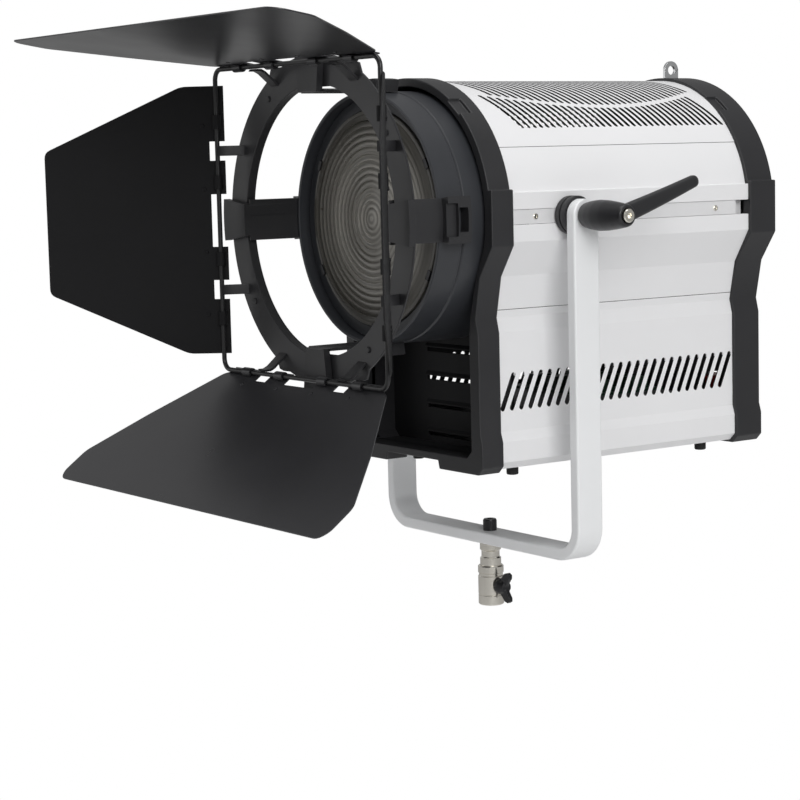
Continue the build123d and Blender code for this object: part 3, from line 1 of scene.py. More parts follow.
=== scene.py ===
"""Dresses the fresnel spotlight: painted skins, moulded frames, prism lens, barn doors, yoke and controls.

Lengths are written in millimetres and turned into metres where a mesh is made.
The lens axis runs along Y at AXIS above the stand receiver's mouth, and the lens faces -Y.
An outline holds (across, up from the lens axis); a turned profile holds (radius, distance along its line).
"""
import json
from math import asin, cos, pi, radians, sin, sqrt

import bmesh
import bpy
from mathutils import Matrix, Vector


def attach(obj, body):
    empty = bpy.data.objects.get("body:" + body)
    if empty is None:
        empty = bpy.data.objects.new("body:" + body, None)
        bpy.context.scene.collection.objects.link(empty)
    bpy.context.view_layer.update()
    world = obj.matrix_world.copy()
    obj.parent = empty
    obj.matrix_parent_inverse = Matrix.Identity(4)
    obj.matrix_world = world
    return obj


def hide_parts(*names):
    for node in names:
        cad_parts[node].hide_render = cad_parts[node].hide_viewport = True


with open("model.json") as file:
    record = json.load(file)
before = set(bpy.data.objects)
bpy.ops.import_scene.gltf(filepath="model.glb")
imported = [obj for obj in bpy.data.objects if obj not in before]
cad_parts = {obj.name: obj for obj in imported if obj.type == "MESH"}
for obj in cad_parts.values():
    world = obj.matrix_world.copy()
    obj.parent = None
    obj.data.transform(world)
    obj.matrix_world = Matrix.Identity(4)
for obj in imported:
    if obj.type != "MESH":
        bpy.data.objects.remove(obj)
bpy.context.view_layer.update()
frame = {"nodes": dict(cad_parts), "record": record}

scene = bpy.context.scene
MM = 0.001

# ---- places along the head and beside it ----
AXIS = 334.0  # height of the lens axis
SIDES = ((1, "right"), (-1, "left"))
FRONT, FRAME_BACK = -80.0, -58.0  # the front frame
BULKHEAD_FRONT = -39.0
SKIN_BACK, REAR_BACK = 198.0, 228.0  # the rear frame
PANEL_BACK = 214.0  # the rear panel's outer face
YOKE_FACE = 134.0  # the outer face of each arm

# ---- outline of the two moulded frames, from the lens axis ----
ARCH = 113.0  # radius
RAIL_HALF, RAIL_RISE = 115.0, 22.0
SHOULDER, GROOVE, WAIST = (98.0, -47.0), (91.0, -80.0), (94.0, -92.0)
WAIST_END = -172.0
FOOT_HALF, FOOT_TOP, FOOT, FOOT_CORNER = 96.5, -180.0, -205.0, 6.0
OPENING, OPENING_HALF, OPENING_FOOT = 106.0, 82.0, -192.0  # radius, half width and lower edge

# ---- painted sheets ----
SKIN, SKIN_INSET = 1.5, 2.5
SKIN_FACE = ARCH - SKIN_INSET
ROOF_SEAM, LOWER_SEAM, HALF_SEAM = 55.0, -74.0, 0.2  # heights, and half of the gap at each
BOTTOM_SEAM = 78.2  # from the middle
ROOF_LEAN, ROOF_PITCH, ROOF_MARGIN, ROOF_SLOT_HALF = 24.0, 6.6, 12.0, 1.6  # the lean in degrees
VENT_COUNT, VENT_PITCH = 26, 9.5

# ---- lens, clips and barn door ----
LENS_HALF, LENS_BACK, LENS_EDGE = 88.0, -108.0, -113.0
RIM = 102.0  # radius of the barrel's front
CLIP_SHEET, CLIP_BACK, CLIP_GAP, LATCH_GAP = 2.0, -97.1, 0.2, 1.0
RING_FRONT = -167.0
WIRE_FRONT, WIRE_HALF_WIDTH, WIRE_HALF_HEIGHT = -186.0, 121.0, 125.0  # the wire's centre
WIRE = 2.0  # radius
LUG_OFFSET = 58.0
LEAF_IN, LEAF_OUT = 2.1, 3.3  # a leaf's two faces, from the wire's centre
LEAF_BACK, LEAF_TIP, NOTCH_REACH = -6.0, 148.0, 7.0  # from the wire, out along the leaf
KNUCKLES = (-82, -32, 32, 82)


def feed(tree, node, inputs):
    """Sets a node's inputs: each is a value, or the socket that feeds it."""
    for key, value in inputs.items():
        if isinstance(value, bpy.types.NodeSocket):
            tree.links.new(value, node.inputs[key])
        else:
            node.inputs[key].default_value = value
    return node


def add_node(tree, kind, inputs=None, **settings):
    """A new node with its settings and inputs."""
    node = tree.nodes.new(kind)
    for key, value in settings.items():
        setattr(node, key, value)
    return feed(tree, node, inputs or {})


def reckon(tree, operation, *values):
    """The result of a Math node."""
    return add_node(tree, "ShaderNodeMath", dict(enumerate(values)), operation=operation).outputs[0]


def added(name, data):
    """A new object in the scene."""
    made = bpy.data.objects.new(name, data)
    scene.collection.objects.link(made)
    return made


# ======== camera, light and floor ========

def aim_camera():
    """A long lens from the lamp's right front, a little above the lens axis."""
    turn, lift, roll = radians(54.98), radians(6.49), radians(-1.424)
    target, distance = Vector((0, -0.0908, 0.1838)), 1.7826
    back = Vector((sin(turn) * cos(lift), -cos(turn) * cos(lift), sin(lift)))
    level = Vector((cos(turn), sin(turn), 0))
    right = level * cos(roll) + back.cross(level) * sin(roll)
    camera = added("camera", bpy.data.cameras.new("camera"))
    camera.data.sensor_width = 36
    camera.data.lens = 97.06
    camera.rotation_mode = "QUATERNION"
    camera.rotation_quaternion = Matrix((right, back.cross(right), back)).transposed().to_quaternion()
    camera.location = target + back * distance
    scene.camera = camera


def soft_box(name, place, target, size, power):
    """A square studio softbox that looks at a point."""
    lamp = bpy.data.lights.new(name, "AREA")
    lamp.shape, lamp.size, lamp.energy = "SQUARE", size, power
    holder = added(name, lamp)
    holder.location = place
    holder.rotation_mode = "QUATERNION"
    holder.rotation_quaternion = (Vector(place) - Vector(target)).to_track_quat("Z", "Y")


def seen_directly(tree):
    """1 for the rays by which the camera sees the surround, straight or through glass, and 0 for the rest."""
    path = add_node(tree, "ShaderNodeLightPath")
    return reckon(tree, "MAXIMUM", path.outputs["Is Camera Ray"], path.outputs["Is Transmission Ray"])


def white_when_seen(tree, otherwise, white):
    """Mixes two shaders: white for the rays that see the surround directly, and the other for the rest."""
    shaders = {0: seen_directly(tree), 1: otherwise.outputs[0], 2: white.outputs[0]}
    return add_node(tree, "ShaderNodeMixShader", shaders).outputs[0]


def white_studio(strength):
    """A plain surround that the camera sees as white, straight or through glass, and that lights softly."""
    scene.world = bpy.data.worlds.new("studio")
    scene.world.use_nodes = True
    tree = scene.world.node_tree
    tree.nodes.clear()
    light = add_node(tree, "ShaderNodeBackground", {"Color": (1, 1, 1, 1), "Strength": strength})
    backdrop = add_node(tree, "ShaderNodeBackground", {"Color": (1, 1, 1, 1), "Strength": 1})
    add_node(tree, "ShaderNodeOutputWorld", {0: white_when_seen(tree, light, backdrop)})


def pale_floor(height, half):
    """A plain floor well below the lamp, white to the camera and softly shaded elsewhere."""
    mesh = bpy.data.meshes.new("floor")
    corners = [(a * half, b * half, height) for a, b in ((-1, -1), (1, -1), (1, 1), (-1, 1))]
    mesh.from_pydata(corners, [], [(0, 1, 2, 3)])
    floor = added("floor", mesh)
    paint = bpy.data.materials.new("pale floor")
    paint.use_nodes = True
    tree = paint.node_tree
    tree.nodes.clear()
    matte = add_node(tree, "ShaderNodeBsdfDiffuse", {"Color": (0.86, 0.86, 0.86, 1)})
    glow = add_node(tree, "ShaderNodeEmission", {"Color": (1, 1, 1, 1), "Strength": 1})
    add_node(tree, "ShaderNodeOutputMaterial", {0: white_when_seen(tree, matte, glow)})
    mesh.materials.append(paint)


aim_camera()
white_studio(0.36)
pale_floor(-0.7, 6)
soft_box("key", (2.9, -0.9, 1.5), (0, 0, 0.33), 1.6, 48)
soft_box("top", (0.3, -0.2, 2.6), (0, 0, 0.33), 1.8, 23)
soft_box("fill", (-1.9, -2.2, 0.7), (0, -0.1, 0.33), 1.5, 5)
scene.view_settings.view_transform = "Standard"


# ======== finishes ========

def shared_effect(name, inputs, outputs):
    """A shader node group with named sockets, its input node and its output node."""
    group = bpy.data.node_groups.new(name, "ShaderNodeTree")
    for label, value in inputs:
        socket = group.interface.new_socket(label, in_out="INPUT", socket_type="NodeSocketFloat")
        socket.default_value = value
    for label in outputs:
        group.interface.new_socket(label, in_out="OUTPUT", socket_type="NodeSocketFloat")
    return group, group.nodes.new("NodeGroupInput"), group.nodes.new("NodeGroupOutput")


def grain_effect():
    """Fine grain for bump, and a broad soft mottle for colour and gloss, both from Object coordinates."""
    scales = (("Grain Scale", 900), ("Mottle Scale", 18))
    group, given, made = shared_effect("grain", scales, ("Grain", "Mottle"))
    place = add_node(group, "ShaderNodeTexCoord")
    for scale, detail, label in (("Grain Scale", 3, "Grain"), ("Mottle Scale", 4, "Mottle")):
        noise = add_node(group, "ShaderNodeTexNoise", {
            "Detail": detail, "Vector": place.outputs["Object"], "Scale": given.outputs[scale]})
        feed(group, made, {label: noise.outputs["Fac"]})
    return group


def brushed_effect():
    """Long fine scratches along Y, where the scale is low; it is high along X and Z."""
    group, given, made = shared_effect("brushed lines", (("Along", 8), ("Across", 1500)), ("Lines",))
    place = add_node(group, "ShaderNodeTexCoord")
    along, crosswise = given.outputs["Along"], given.outputs["Across"]
    scale = add_node(group, "ShaderNodeCombineXYZ", {"X": crosswise, "Y": along, "Z": crosswise})
    stretch = add_node(group, "ShaderNodeVectorMath", {0: place.outputs["Object"], 1: scale.outputs[0]},
                       operation="MULTIPLY")
    noise = add_node(group, "ShaderNodeTexNoise", {"Scale": 1, "Detail": 2, "Vector": stretch.outputs[0]})
    feed(group, made, {"Lines": noise.outputs["Fac"]})
    return group


def ring_effect():
    """Rings about the lens axis: a wave from ring to ring, and how far out each point lies."""
    sizes = (("Pitch", 0.0046), ("Axis Height", AXIS * MM), ("Reach", LENS_HALF * MM))
    group, given, made = shared_effect("prism rings", sizes, ("Wave", "Outward"))
    place = add_node(group, "ShaderNodeTexCoord")
    parts = add_node(group, "ShaderNodeSeparateXYZ", {0: place.outputs["Object"]})
    height = reckon(group, "SUBTRACT", parts.outputs["Z"], given.outputs["Axis Height"])
    flat = add_node(group, "ShaderNodeCombineXYZ", {"X": parts.outputs["X"], "Z": height})
    out = add_node(group, "ShaderNodeVectorMath", {0: flat.outputs[0]}, operation="LENGTH").outputs["Value"]
    turns = reckon(group, "MULTIPLY", reckon(group, "DIVIDE", out, given.outputs["Pitch"]), 2 * pi)
    feed(group, made, {"Wave": reckon(group, "MULTIPLY_ADD", reckon(group, "SINE", turns), 0.5, 0.5),
                       "Outward": reckon(group, "DIVIDE", out, given.outputs["Reach"])})
    return group


def facing_effect():
    """How squarely a face of the head looks away from the lens axis: 1 outwards, -1 inwards."""
    group, given, made = shared_effect("outward facing", (("Axis Height", AXIS * MM),), ("Facing",))
    place = add_node(group, "ShaderNodeTexCoord")
    centre = add_node(group, "ShaderNodeCombineXYZ", {"Z": given.outputs["Axis Height"]})
    way = place.outputs["Object"]
    for operation, other in (("SUBTRACT", centre.outputs[0]), ("MULTIPLY", (1, 0, 1)), ("NORMALIZE", None)):
        inputs = {0: way} if other is None else {0: way, 1: other}
        way = add_node(group, "ShaderNodeVectorMath", inputs, operation=operation).outputs[0]
    aligned = add_node(group, "ShaderNodeVectorMath", {0: way, 1: place.outputs["Normal"]},
                       operation="DOT_PRODUCT")
    feed(group, made, {"Facing": aligned.outputs["Value"]})
    return group


GRAIN = grain_effect()
BRUSHED = brushed_effect()
RINGS = ring_effect()
FACING = facing_effect()


def new_material(name):
    """A material's node tree and its main shader."""
    made = bpy.data.materials.new(name)
    made.use_nodes = True
    return made, made.node_tree, made.node_tree.nodes["Principled BSDF"]


def mixed_colour(tree, share, first, second):
    """A colour between two others."""
    colours = {"Factor": share, "A": first, "B": second}
    return add_node(tree, "ShaderNodeMix", colours, data_type="RGBA").outputs["Result"]


def spread_gloss(tree, mottle, smooth, dull):
    """A roughness that the mottle moves between two values."""
    spread = {"Value": mottle, "To Min": smooth, "To Max": dull}
    return add_node(tree, "ShaderNodeMapRange", spread).outputs["Result"]


def relief(tree, height, strength, depth):
    """A normal that a height bends."""
    bump = {"Height": height, "Strength": strength, "Distance": depth}
    return add_node(tree, "ShaderNodeBump", bump).outputs["Normal"]


def finish(name, colour, rough, metallic=0.0, coat=0.0, grain=900, bump=0.03, mottle=0.06, scatter=0.12,
           lines=0.0, along=8, specular=0.5, shade_facing_limit=None):
    """A surface with grain in its bump, mottle in its colour and gloss, and brushed lines if it has them.

    A facing limit says how far a face must look away from the lens axis to keep its colour. Faces that look
    less far out are painted near-black, as painted shade inside the head and on the walls of the roof's
    slots.
    """
    made, tree, skin = new_material(name)
    effect = add_node(tree, "ShaderNodeGroup", {"Grain Scale": grain}, node_tree=GRAIN)
    mottling = effect.outputs["Mottle"]
    shade = mixed_colour(tree, mottling, [c * (1 - mottle) for c in colour] + [1],
                         [min(1, c * (1 + mottle)) for c in colour] + [1])
    # Painted shade: near-black on the faces that turn in towards the lens axis, where shade falls inside the
    # head and in slots.
    if shade_facing_limit is not None:
        facing = add_node(tree, "ShaderNodeGroup", node_tree=FACING).outputs["Facing"]
        keeps_colour = reckon(tree, "GREATER_THAN", facing, shade_facing_limit)
        shade = mixed_colour(tree, keeps_colour, (0.012, 0.012, 0.013, 1), shade)
    height = effect.outputs["Grain"]
    if lines:
        height = add_node(tree, "ShaderNodeGroup", {"Along": along}, node_tree=BRUSHED).outputs["Lines"]
    feed(tree, skin, {
        "Base Color": shade, "Metallic": metallic, "Coat Weight": coat, "Coat Roughness": 0.15,
        "Specular IOR Level": specular,
        "Roughness": spread_gloss(tree, mottling, max(0.02, rough - scatter), rough + scatter),
        "Normal": relief(tree, height, lines or bump, 0.0002)})
    return made


def lens_glass():
    """Pressed lens glass: a milky warm grey as painted light, standing in for the light seen through a clear
    lens; painted light and shade from ring to ring of its prisms; and deeper in tone at the rim.
    """
    made, tree, skin = new_material("pressed lens glass")
    effect = add_node(tree, "ShaderNodeGroup", {"Grain Scale": 90}, node_tree=GRAIN)
    rings = add_node(tree, "ShaderNodeGroup", node_tree=RINGS)
    fade = add_node(tree, "ShaderNodeMapRange", {
        "Value": rings.outputs["Outward"], "From Min": 0.70, "From Max": 0.90, "To Max": 0.85})
    # Painted light and shade: each prism ring goes from dark to light in colour, in place of the light and
    # shade on its facets.
    ring_shading = mixed_colour(tree, rings.outputs["Wave"], (0.22, 0.21, 0.19, 1), (0.42, 0.405, 0.37, 1))
    feed(tree, skin, {
        "Base Color": mixed_colour(tree, fade.outputs["Result"], ring_shading, (0.085, 0.080, 0.070, 1)),
        "Transmission Weight": 0.30, "IOR": 1.47, "Specular IOR Level": 0.4,
        "Roughness": spread_gloss(tree, effect.outputs["Mottle"], 0.24, 0.34),
        "Normal": relief(tree, rings.outputs["Wave"], 0.15, 0.0008)})
    return made


SKIN_COAT = {"colour": (0.83, 0.83, 0.84), "rough": 0.42, "coat": 0.1, "grain": 1400, "bump": 0.05,
             "mottle": 0.015, "scatter": 0.05}
# Both white coats paint shade near-black on faces that turn in towards the lens axis; the roof's higher limit
# also paints shade on its slot walls.
WHITE_PAINT = finish("white powder coat", shade_facing_limit=-0.2, **SKIN_COAT)
ROOF_PAINT = finish("white roof coat, painted shade in slots", shade_facing_limit=0.5, **SKIN_COAT)
MOULDED_BLACK = finish("moulded black frame", (0.018, 0.018, 0.020), 0.46, grain=1600, bump=0.12, mottle=0.15)
# The bulkhead's black is darker than the frames' black, as painted shade in the recess behind the front
# frame.
RECESS_SHADE_BLACK = finish("matt black, darkened as painted recess shade", (0.005, 0.005, 0.006), 0.65, grain=1200, bump=0.08, specular=0.3)
BARREL_BLACK = finish("satin barrel black", (0.030, 0.032, 0.037), 0.42, grain=1500, bump=0.06)
YOKE_PAINT = finish("silver yoke paint", (0.88, 0.89, 0.90), 0.40, metallic=0.08, grain=1500, bump=0.04,
                    mottle=0.02, scatter=0.05)
NICKEL = finish("nickel plate", (0.80, 0.77, 0.70), 0.22, metallic=1, lines=0.06, along=900, scatter=0.08)
BLACKED_STEEL = finish("blacked steel", (0.03, 0.03, 0.032), 0.34, metallic=0.6, bump=0.05)
HANDLE_BLACK = finish("moulded handle black", (0.016, 0.016, 0.018), 0.38, grain=1300, bump=0.10)
BAR_STEEL = finish("brushed bar", (0.84, 0.84, 0.85), 0.42, metallic=0.25, lines=0.08, along=6)
# Painted light: the four leaves are one black sheet. The side leaves get a darker black as painted shade, and
# the top and bottom leaves a lighter black as painted sheen.
LEAF_SHADED_BLACK = finish("leaf black, painted shade", (0.007, 0.007, 0.008), 0.62, grain=1100, bump=0.06, specular=0.25)
LEAF_LIT_BLACK = finish("leaf black, painted sheen", (0.030, 0.030, 0.033), 0.30, grain=1100, bump=0.05, mottle=0.12,
                    scatter=0.06)
RING_SHEEN = finish("satin ring black", (0.022, 0.022, 0.024), 0.40, grain=1100, bump=0.05)
WIRE_BLACK = finish("black wire", (0.014, 0.014, 0.015), 0.35, bump=0.05)
# Partly painted shade: the heat sink and carriage are dark anodised, and kept dark so that the inside of the
# head reads as shaded.
DARK_ALUMINIUM_AND_SHADE = finish("dark anodised aluminium and painted shade", (0.055, 0.056, 0.060), 0.38, metallic=0.6, lines=0.08,
                        along=10)
BOARD_WHITE = finish("white circuit mask", (0.82, 0.83, 0.80), 0.3)
MIRROR_CONE = finish("bright reflector", (0.86, 0.86, 0.85), 0.12, metallic=1, grain=300, bump=0.05,
                     scatter=0.04)
# Partly painted shade: the supply case is a darker grey so that the inside of the head reads as shaded.
CASE_GREY_AND_SHADE = finish("pressed supply case, darkened as painted shade", (0.20, 0.20, 0.21), 0.40, metallic=0.6, bump=0.04)
BOARD_GREEN = finish("green circuit board", (0.008, 0.035, 0.018), 0.35, bump=0.05, mottle=0.2)
PANEL_BLACK = finish("textured panel black", (0.022, 0.022, 0.024), 0.5, grain=1700, bump=0.15, mottle=0.1)
DISPLAY_TINT = finish("tinted display window", (0.008, 0.012, 0.016), 0.08, coat=0.6, bump=0.0, scatter=0.03)
FOOT_RUBBER = finish("foot rubber", (0.014, 0.014, 0.014), 0.75, grain=700, bump=0.2)
BUTTON_GREY = finish("moulded button grey", (0.30, 0.31, 0.32), 0.5, bump=0.1)
ROCKER_RED = finish("dark rocker red", (0.20, 0.012, 0.010), 0.2, coat=0.3)
EYE_STEEL = finish("bright eye steel", (0.66, 0.67, 0.68), 0.22, metallic=1, lines=0.05, along=700)
LENS_GLASS = lens_glass()
CLIP_BLACK = finish("pressed clip black", (0.020, 0.020, 0.022), 0.45, grain=1300, bump=0.06)


# ======== ways of making pieces ========

def faced_out(piece, merge=0.0):
    """Turns a closed piece's faces outwards, and first merges points that are closer than a distance."""
    work = bmesh.new()
    work.from_mesh(piece.data)
    if merge:
        bmesh.ops.remove_doubles(work, verts=work.verts, dist=merge)
    bmesh.ops.recalc_face_normals(work, faces=work.faces)
    work.to_mesh(piece.data)
    work.free()
    return piece


def from_points(name, points, faces):
    """A mesh object from points in millimetres."""
    mesh = bpy.data.meshes.new(name)
    mesh.from_pydata([Vector(p) * MM for p in points], [], faces)
    return faced_out(added(name, mesh), merge=1e-7)


def across(a, b, y):
    """A point of a profile drawn on the lens axis, looking along it."""
    return (a, y, AXIS + b)


def along_x(x, b=0.0, y=0.0, side=1):
    """Turns about a line along X on one side of the lamp: a distance runs outwards from x."""
    return lambda r, t, d: (side * (x + d), y + r * cos(t), AXIS + b + r * sin(t))


def along_y(a=0.0, b=0.0, y=0.0):
    """Turns about a line along Y at (a, b) from the lens axis."""
    return lambda r, t, d: (a + r * cos(t), y + d, AXIS + b + r * sin(t))


def upright(r, t, d):
    """Turns about the stand receiver's upright axis, from its mouth."""
    return (r * cos(t), r * sin(t), d)


def prism(name, outline, low, high, place=across):
    """An outline pushed through from low to high; place turns (a, b, depth) into a point."""
    n = len(outline)
    points = [place(a, b, depth) for depth in (low, high) for a, b in outline]
    faces = [tuple(range(n)), tuple(range(2 * n - 1, n - 1, -1))]
    faces += [(i, (i + 1) % n, n + (i + 1) % n, n + i) for i in range(n)]
    return from_points(name, points, faces)


def lathe(name, profile, sides=96, place=along_y()):
    """A closed profile turned about a line, which is the lens axis unless place says otherwise."""
    n = len(profile)
    points = [place(r, 2 * pi * i / sides, d) for i in range(sides) for r, d in profile]
    faces = []
    for i in range(sides):
        j = (i + 1) % sides
        faces += [(i * n + k, i * n + (k + 1) % n, j * n + (k + 1) % n, j * n + k) for k in range(n)]
    return from_points(name, points, faces)


def lofted(name, rings, closed=False):
    """Joins rings of equal length into a skin, capped at both ends unless it closes on itself."""
    n, count = len(rings[0]), len(rings)
    faces = []
    for i in range(count if closed else count - 1):
        j = (i + 1) % count
        faces += [(i * n + k, i * n + (k + 1) % n, j * n + (k + 1) % n, j * n + k) for k in range(n)]
    if not closed:
        faces += [tuple(range(n)), tuple(range((count - 1) * n, count * n))]
    return from_points(name, [p for ring in rings for p in ring], faces)


def plain(piece):
    """Turns modifiers into plain mesh."""
    graph = bpy.context.evaluated_depsgraph_get()
    mesh = bpy.data.meshes.new_from_object(piece.evaluated_get(graph))
    piece.modifiers.clear()
    piece.data = mesh
    return piece


def cut(piece, *cutters, operation="DIFFERENCE"):
    """Takes cutters away from a piece, or joins them to it."""
    for cutter in cutters:
        step = piece.modifiers.new("cut", "BOOLEAN")
        step.operation, step.object, step.solver = operation, cutter, "MANIFOLD"
    plain(piece)
    for cutter in cutters:
        bpy.data.objects.remove(cutter)
    return piece


def joined(pieces):
    """Gathers several loose shells into the first one."""
    first = pieces[0]
    work = bmesh.new()
    for piece in pieces:
        work.from_mesh(piece.data)
    work.to_mesh(first.data)
    work.free()
    for piece in pieces[1:]:
        bpy.data.objects.remove(piece)
    return first


def rounded(piece, width, segments=2, angle=35):
    """Rounds the edges that are sharper than an angle."""
    step = piece.modifiers.new("round", "BEVEL")
    step.width, step.segments = width * MM, segments
    step.limit_method, step.angle_limit = "ANGLE", radians(angle)
    step.use_clamp_overlap = True
    return plain(piece)


def shaded(piece, angle):
    """Smooth faces that break at sharp edges, with the large faces kept flat."""
    piece.data.polygons.foreach_set("use_smooth", [True] * len(piece.data.polygons))
    piece.data.set_sharp_from_angle(angle=radians(angle))
    step = piece.modifiers.new("weigh", "WEIGHTED_NORMAL")
    step.mode, step.keep_sharp = "FACE_AREA", True
    return plain(piece)


def body_of(node):
    """The body that holds a CAD node."""
    return next(body for body, held in frame["record"]["behaviour"]["bodies"].items() if node in held)


def slot_of(node):
    """The material slot of a CAD node."""
    return next(part["material_slot"] for part in frame["record"]["subparts"] if part["node"] == node)


def dress(piece, material, node=None, body=None, slot=None, angle=32):
    """Gives a piece its finish and body, and hides the CAD node that it stands for."""
    shaded(piece, angle)
    piece.data.materials.clear()
    piece.data.materials.append(material)
    piece.data.polygons.foreach_set("material_index", [0] * len(piece.data.polygons))
    if node:
        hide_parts(node)
    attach(piece, body or body_of(node))
    slot or slot_of(node)


def coat(material, *nodes):
    """Gives the CAD's own shapes their finish."""
    for node in nodes:
        mesh = frame["nodes"][node].data
        mesh.materials.clear()
        mesh.materials.append(material)


def eased(node, material, width, segments):
    """A CAD node's own shape, merged and with its flat faces whole, and its edges rounded."""
    work = bmesh.new()
    work.from_mesh(frame["nodes"][node].data)
    bmesh.ops.remove_doubles(work, verts=work.verts, dist=2e-6)
    bmesh.ops.dissolve_limit(work, angle_limit=radians(0.6), verts=work.verts, edges=work.edges)
    mesh = bpy.data.meshes.new(node + "_eased")
    work.to_mesh(mesh)
    work.free()
    dress(rounded(added(node + "_eased", mesh), width, segments), material, node)


def moulded(piece, voxel, turns):
    """Melts joined shells into one smooth moulding."""
    melt = piece.modifiers.new("melt", "REMESH")
    melt.mode, melt.voxel_size = "VOXEL", voxel * MM
    soften = piece.modifiers.new("soften", "SMOOTH")
    soften.factor, soften.iterations = 0.5, turns
    return plain(piece)


# ======== outlines ========

CORNERS = ((0, 1, 1), (pi / 2, -1, 1), (pi, -1, -1), (3 * pi / 2, 1, -1))


def arc(radius, start, end, steps):
    """Points on a circle about the origin, between two angles in radians."""
    turns = [start + (end - start) * i / steps for i in range(steps + 1)]
    return [(radius * cos(t), radius * sin(t)) for t in turns]


def mirrored(half):
    """A whole outline from its right half, which starts and ends on the centre line."""
    return half + [(-a, b) for a, b in reversed(half[1:-1])]


def sided(side, outline):
    """An outline of the right side, moved to the side that is asked for."""
    return [(side * a, b) for a, b in outline]


def box_outline(left, right, low, high):
    """The four corners of a plain rectangle."""
    return [(left, low), (right, low), (right, high), (left, high)]


def rounded_box(half_a, half_b, corner, steps=4):
    """The outline of a rectangle with round corners."""
    outline = []
    for turn, a, b in CORNERS:
        for x, z in arc(corner, turn, turn + pi / 2, steps):
            outline.append((a * (half_a - corner) + x, b * (half_b - corner) + z))
    return outline


def sector(r_in, r_out, middle, half, steps=12):
    """A piece of a flat ring about the lens axis; angles in degrees."""
    low, high = radians(middle - half), radians(middle + half)
    return arc(r_out, low, high, steps) + arc(r_in, high, low, steps)


def head_half(inset, steps=30):
    """The right half of the stepped outline that both frames share."""
    arch, rail, foot = ARCH - inset, RAIL_RISE - inset, FOOT + inset
    bow = [(0, arch)] + arc(arch, pi / 2, asin(rail / arch), steps)[1:]
    steps_down = [(RAIL_HALF, -rail), SHOULDER, GROOVE, WAIST, (WAIST[0], WAIST_END), (FOOT_HALF, FOOT_TOP),
                  (FOOT_HALF, foot + FOOT_CORNER), (FOOT_HALF - FOOT_CORNER, foot)]
    return bow + [(RAIL_HALF - inset, rail)] + [(a - inset, b) for a, b in steps_down] + [(0, foot)]


def opening_half(grow, steps=30):
    """The right half of the smooth opening in both frames."""
    arch, wall, foot = OPENING + grow, OPENING_HALF + grow, OPENING_FOOT - grow
    bow = [(0, arch)] + arc(arch, pi / 2, -asin(RAIL_RISE / arch), steps)[1:]
    return bow + [(92.4 + grow, SHOULDER[1]), (wall + 1.5, GROOVE[1]), (wall, WAIST[1]),
                  (wall, foot + FOOT_CORNER), (wall - FOOT_CORNER, foot), (0, foot)]


# ======== patterns ========

class Pattern:
    """A geometry node tree that is being built, with named sizes as its inputs."""

    def __init__(self, name, sizes):
        self.tree = bpy.data.node_groups.new(name, "GeometryNodeTree")
        sockets = self.tree.interface
        sockets.new_socket("Geometry", in_out="INPUT", socket_type="NodeSocketGeometry")
        for label, kind in sizes:
            sockets.new_socket(label, in_out="INPUT", socket_type="NodeSocket" + kind)
        sockets.new_socket("Geometry", in_out="OUTPUT", socket_type="NodeSocketGeometry")
        self.given = self.tree.nodes.new("NodeGroupInput")
        self.made = self.tree.nodes.new("NodeGroupOutput")

    def add(self, kind, inputs=None, **settings):
        return add_node(self.tree, kind, inputs, **settings)

    def math(self, operation, *values):
        return reckon(self.tree, operation, *values)

    def size(self, label):
        return self.given.outputs[label]

    def end(self, geometry, material):
        """Realizes the copies and sets their finish."""
        whole = self.add("GeometryNodeRealizeInstances", {"Geometry": geometry})
        coated = self.add("GeometryNodeSetMaterial", {"Geometry": whole.outputs[0], "Material": material})
        self.tree.links.new(coated.outputs[0], self.made.inputs[0])

    def applied(self, piece, values):
        """Runs the tree on a piece and leaves plain mesh."""
        step = piece.modifiers.new(self.tree.name, "NODES")
        step.node_group = self.tree
        names = {s.name: s.identifier for s in self.tree.interface.items_tree if s.in_out == "INPUT"}
        for label, value in values.items():
            step[names[label]] = value
        return plain(piece)


def row_tree():
    """Copies of the piece along a straight row."""
    row = Pattern("straight row", (("Count", "Int"), ("Step", "Vector"), ("Finish", "Material")))
    line = row.add("GeometryNodeMeshLine", {"Count": row.size("Count"), "Offset": row.size("Step")})
    copies = row.add("GeometryNodeInstanceOnPoints", {
        "Points": line.outputs[0], "Instance": row.size("Geometry")})
    row.end(copies.outputs[0], row.size("Finish"))
    return row


def wheel_tree():
    """Copies of the piece turned about a line along Y through Centre."""
    wheel = Pattern("wheel", (("Count", "Int"), ("Centre", "Vector"), ("Finish", "Material")))
    points = wheel.add("GeometryNodePoints", {"Count": wheel.size("Count"), "Position": wheel.size("Centre")})
    homed = wheel.add("ShaderNodeVectorMath", {0: wheel.size("Centre"), "Scale": -1}, operation="SCALE")
    hub = wheel.add("GeometryNodeTransform", {
        "Geometry": wheel.size("Geometry"), "Translation": homed.outputs[0]})
    share = wheel.math("DIVIDE", wheel.add("GeometryNodeInputIndex").outputs[0], wheel.size("Count"))
    turn = wheel.add("ShaderNodeCombineXYZ", {"Y": wheel.math("MULTIPLY", share, 2 * pi)})
    copies = wheel.add("GeometryNodeInstanceOnPoints", {
        "Points": points.outputs[0], "Instance": hub.outputs[0], "Rotation": turn.outputs[0]})
    wheel.end(copies.outputs[0], wheel.size("Finish"))
    return wheel


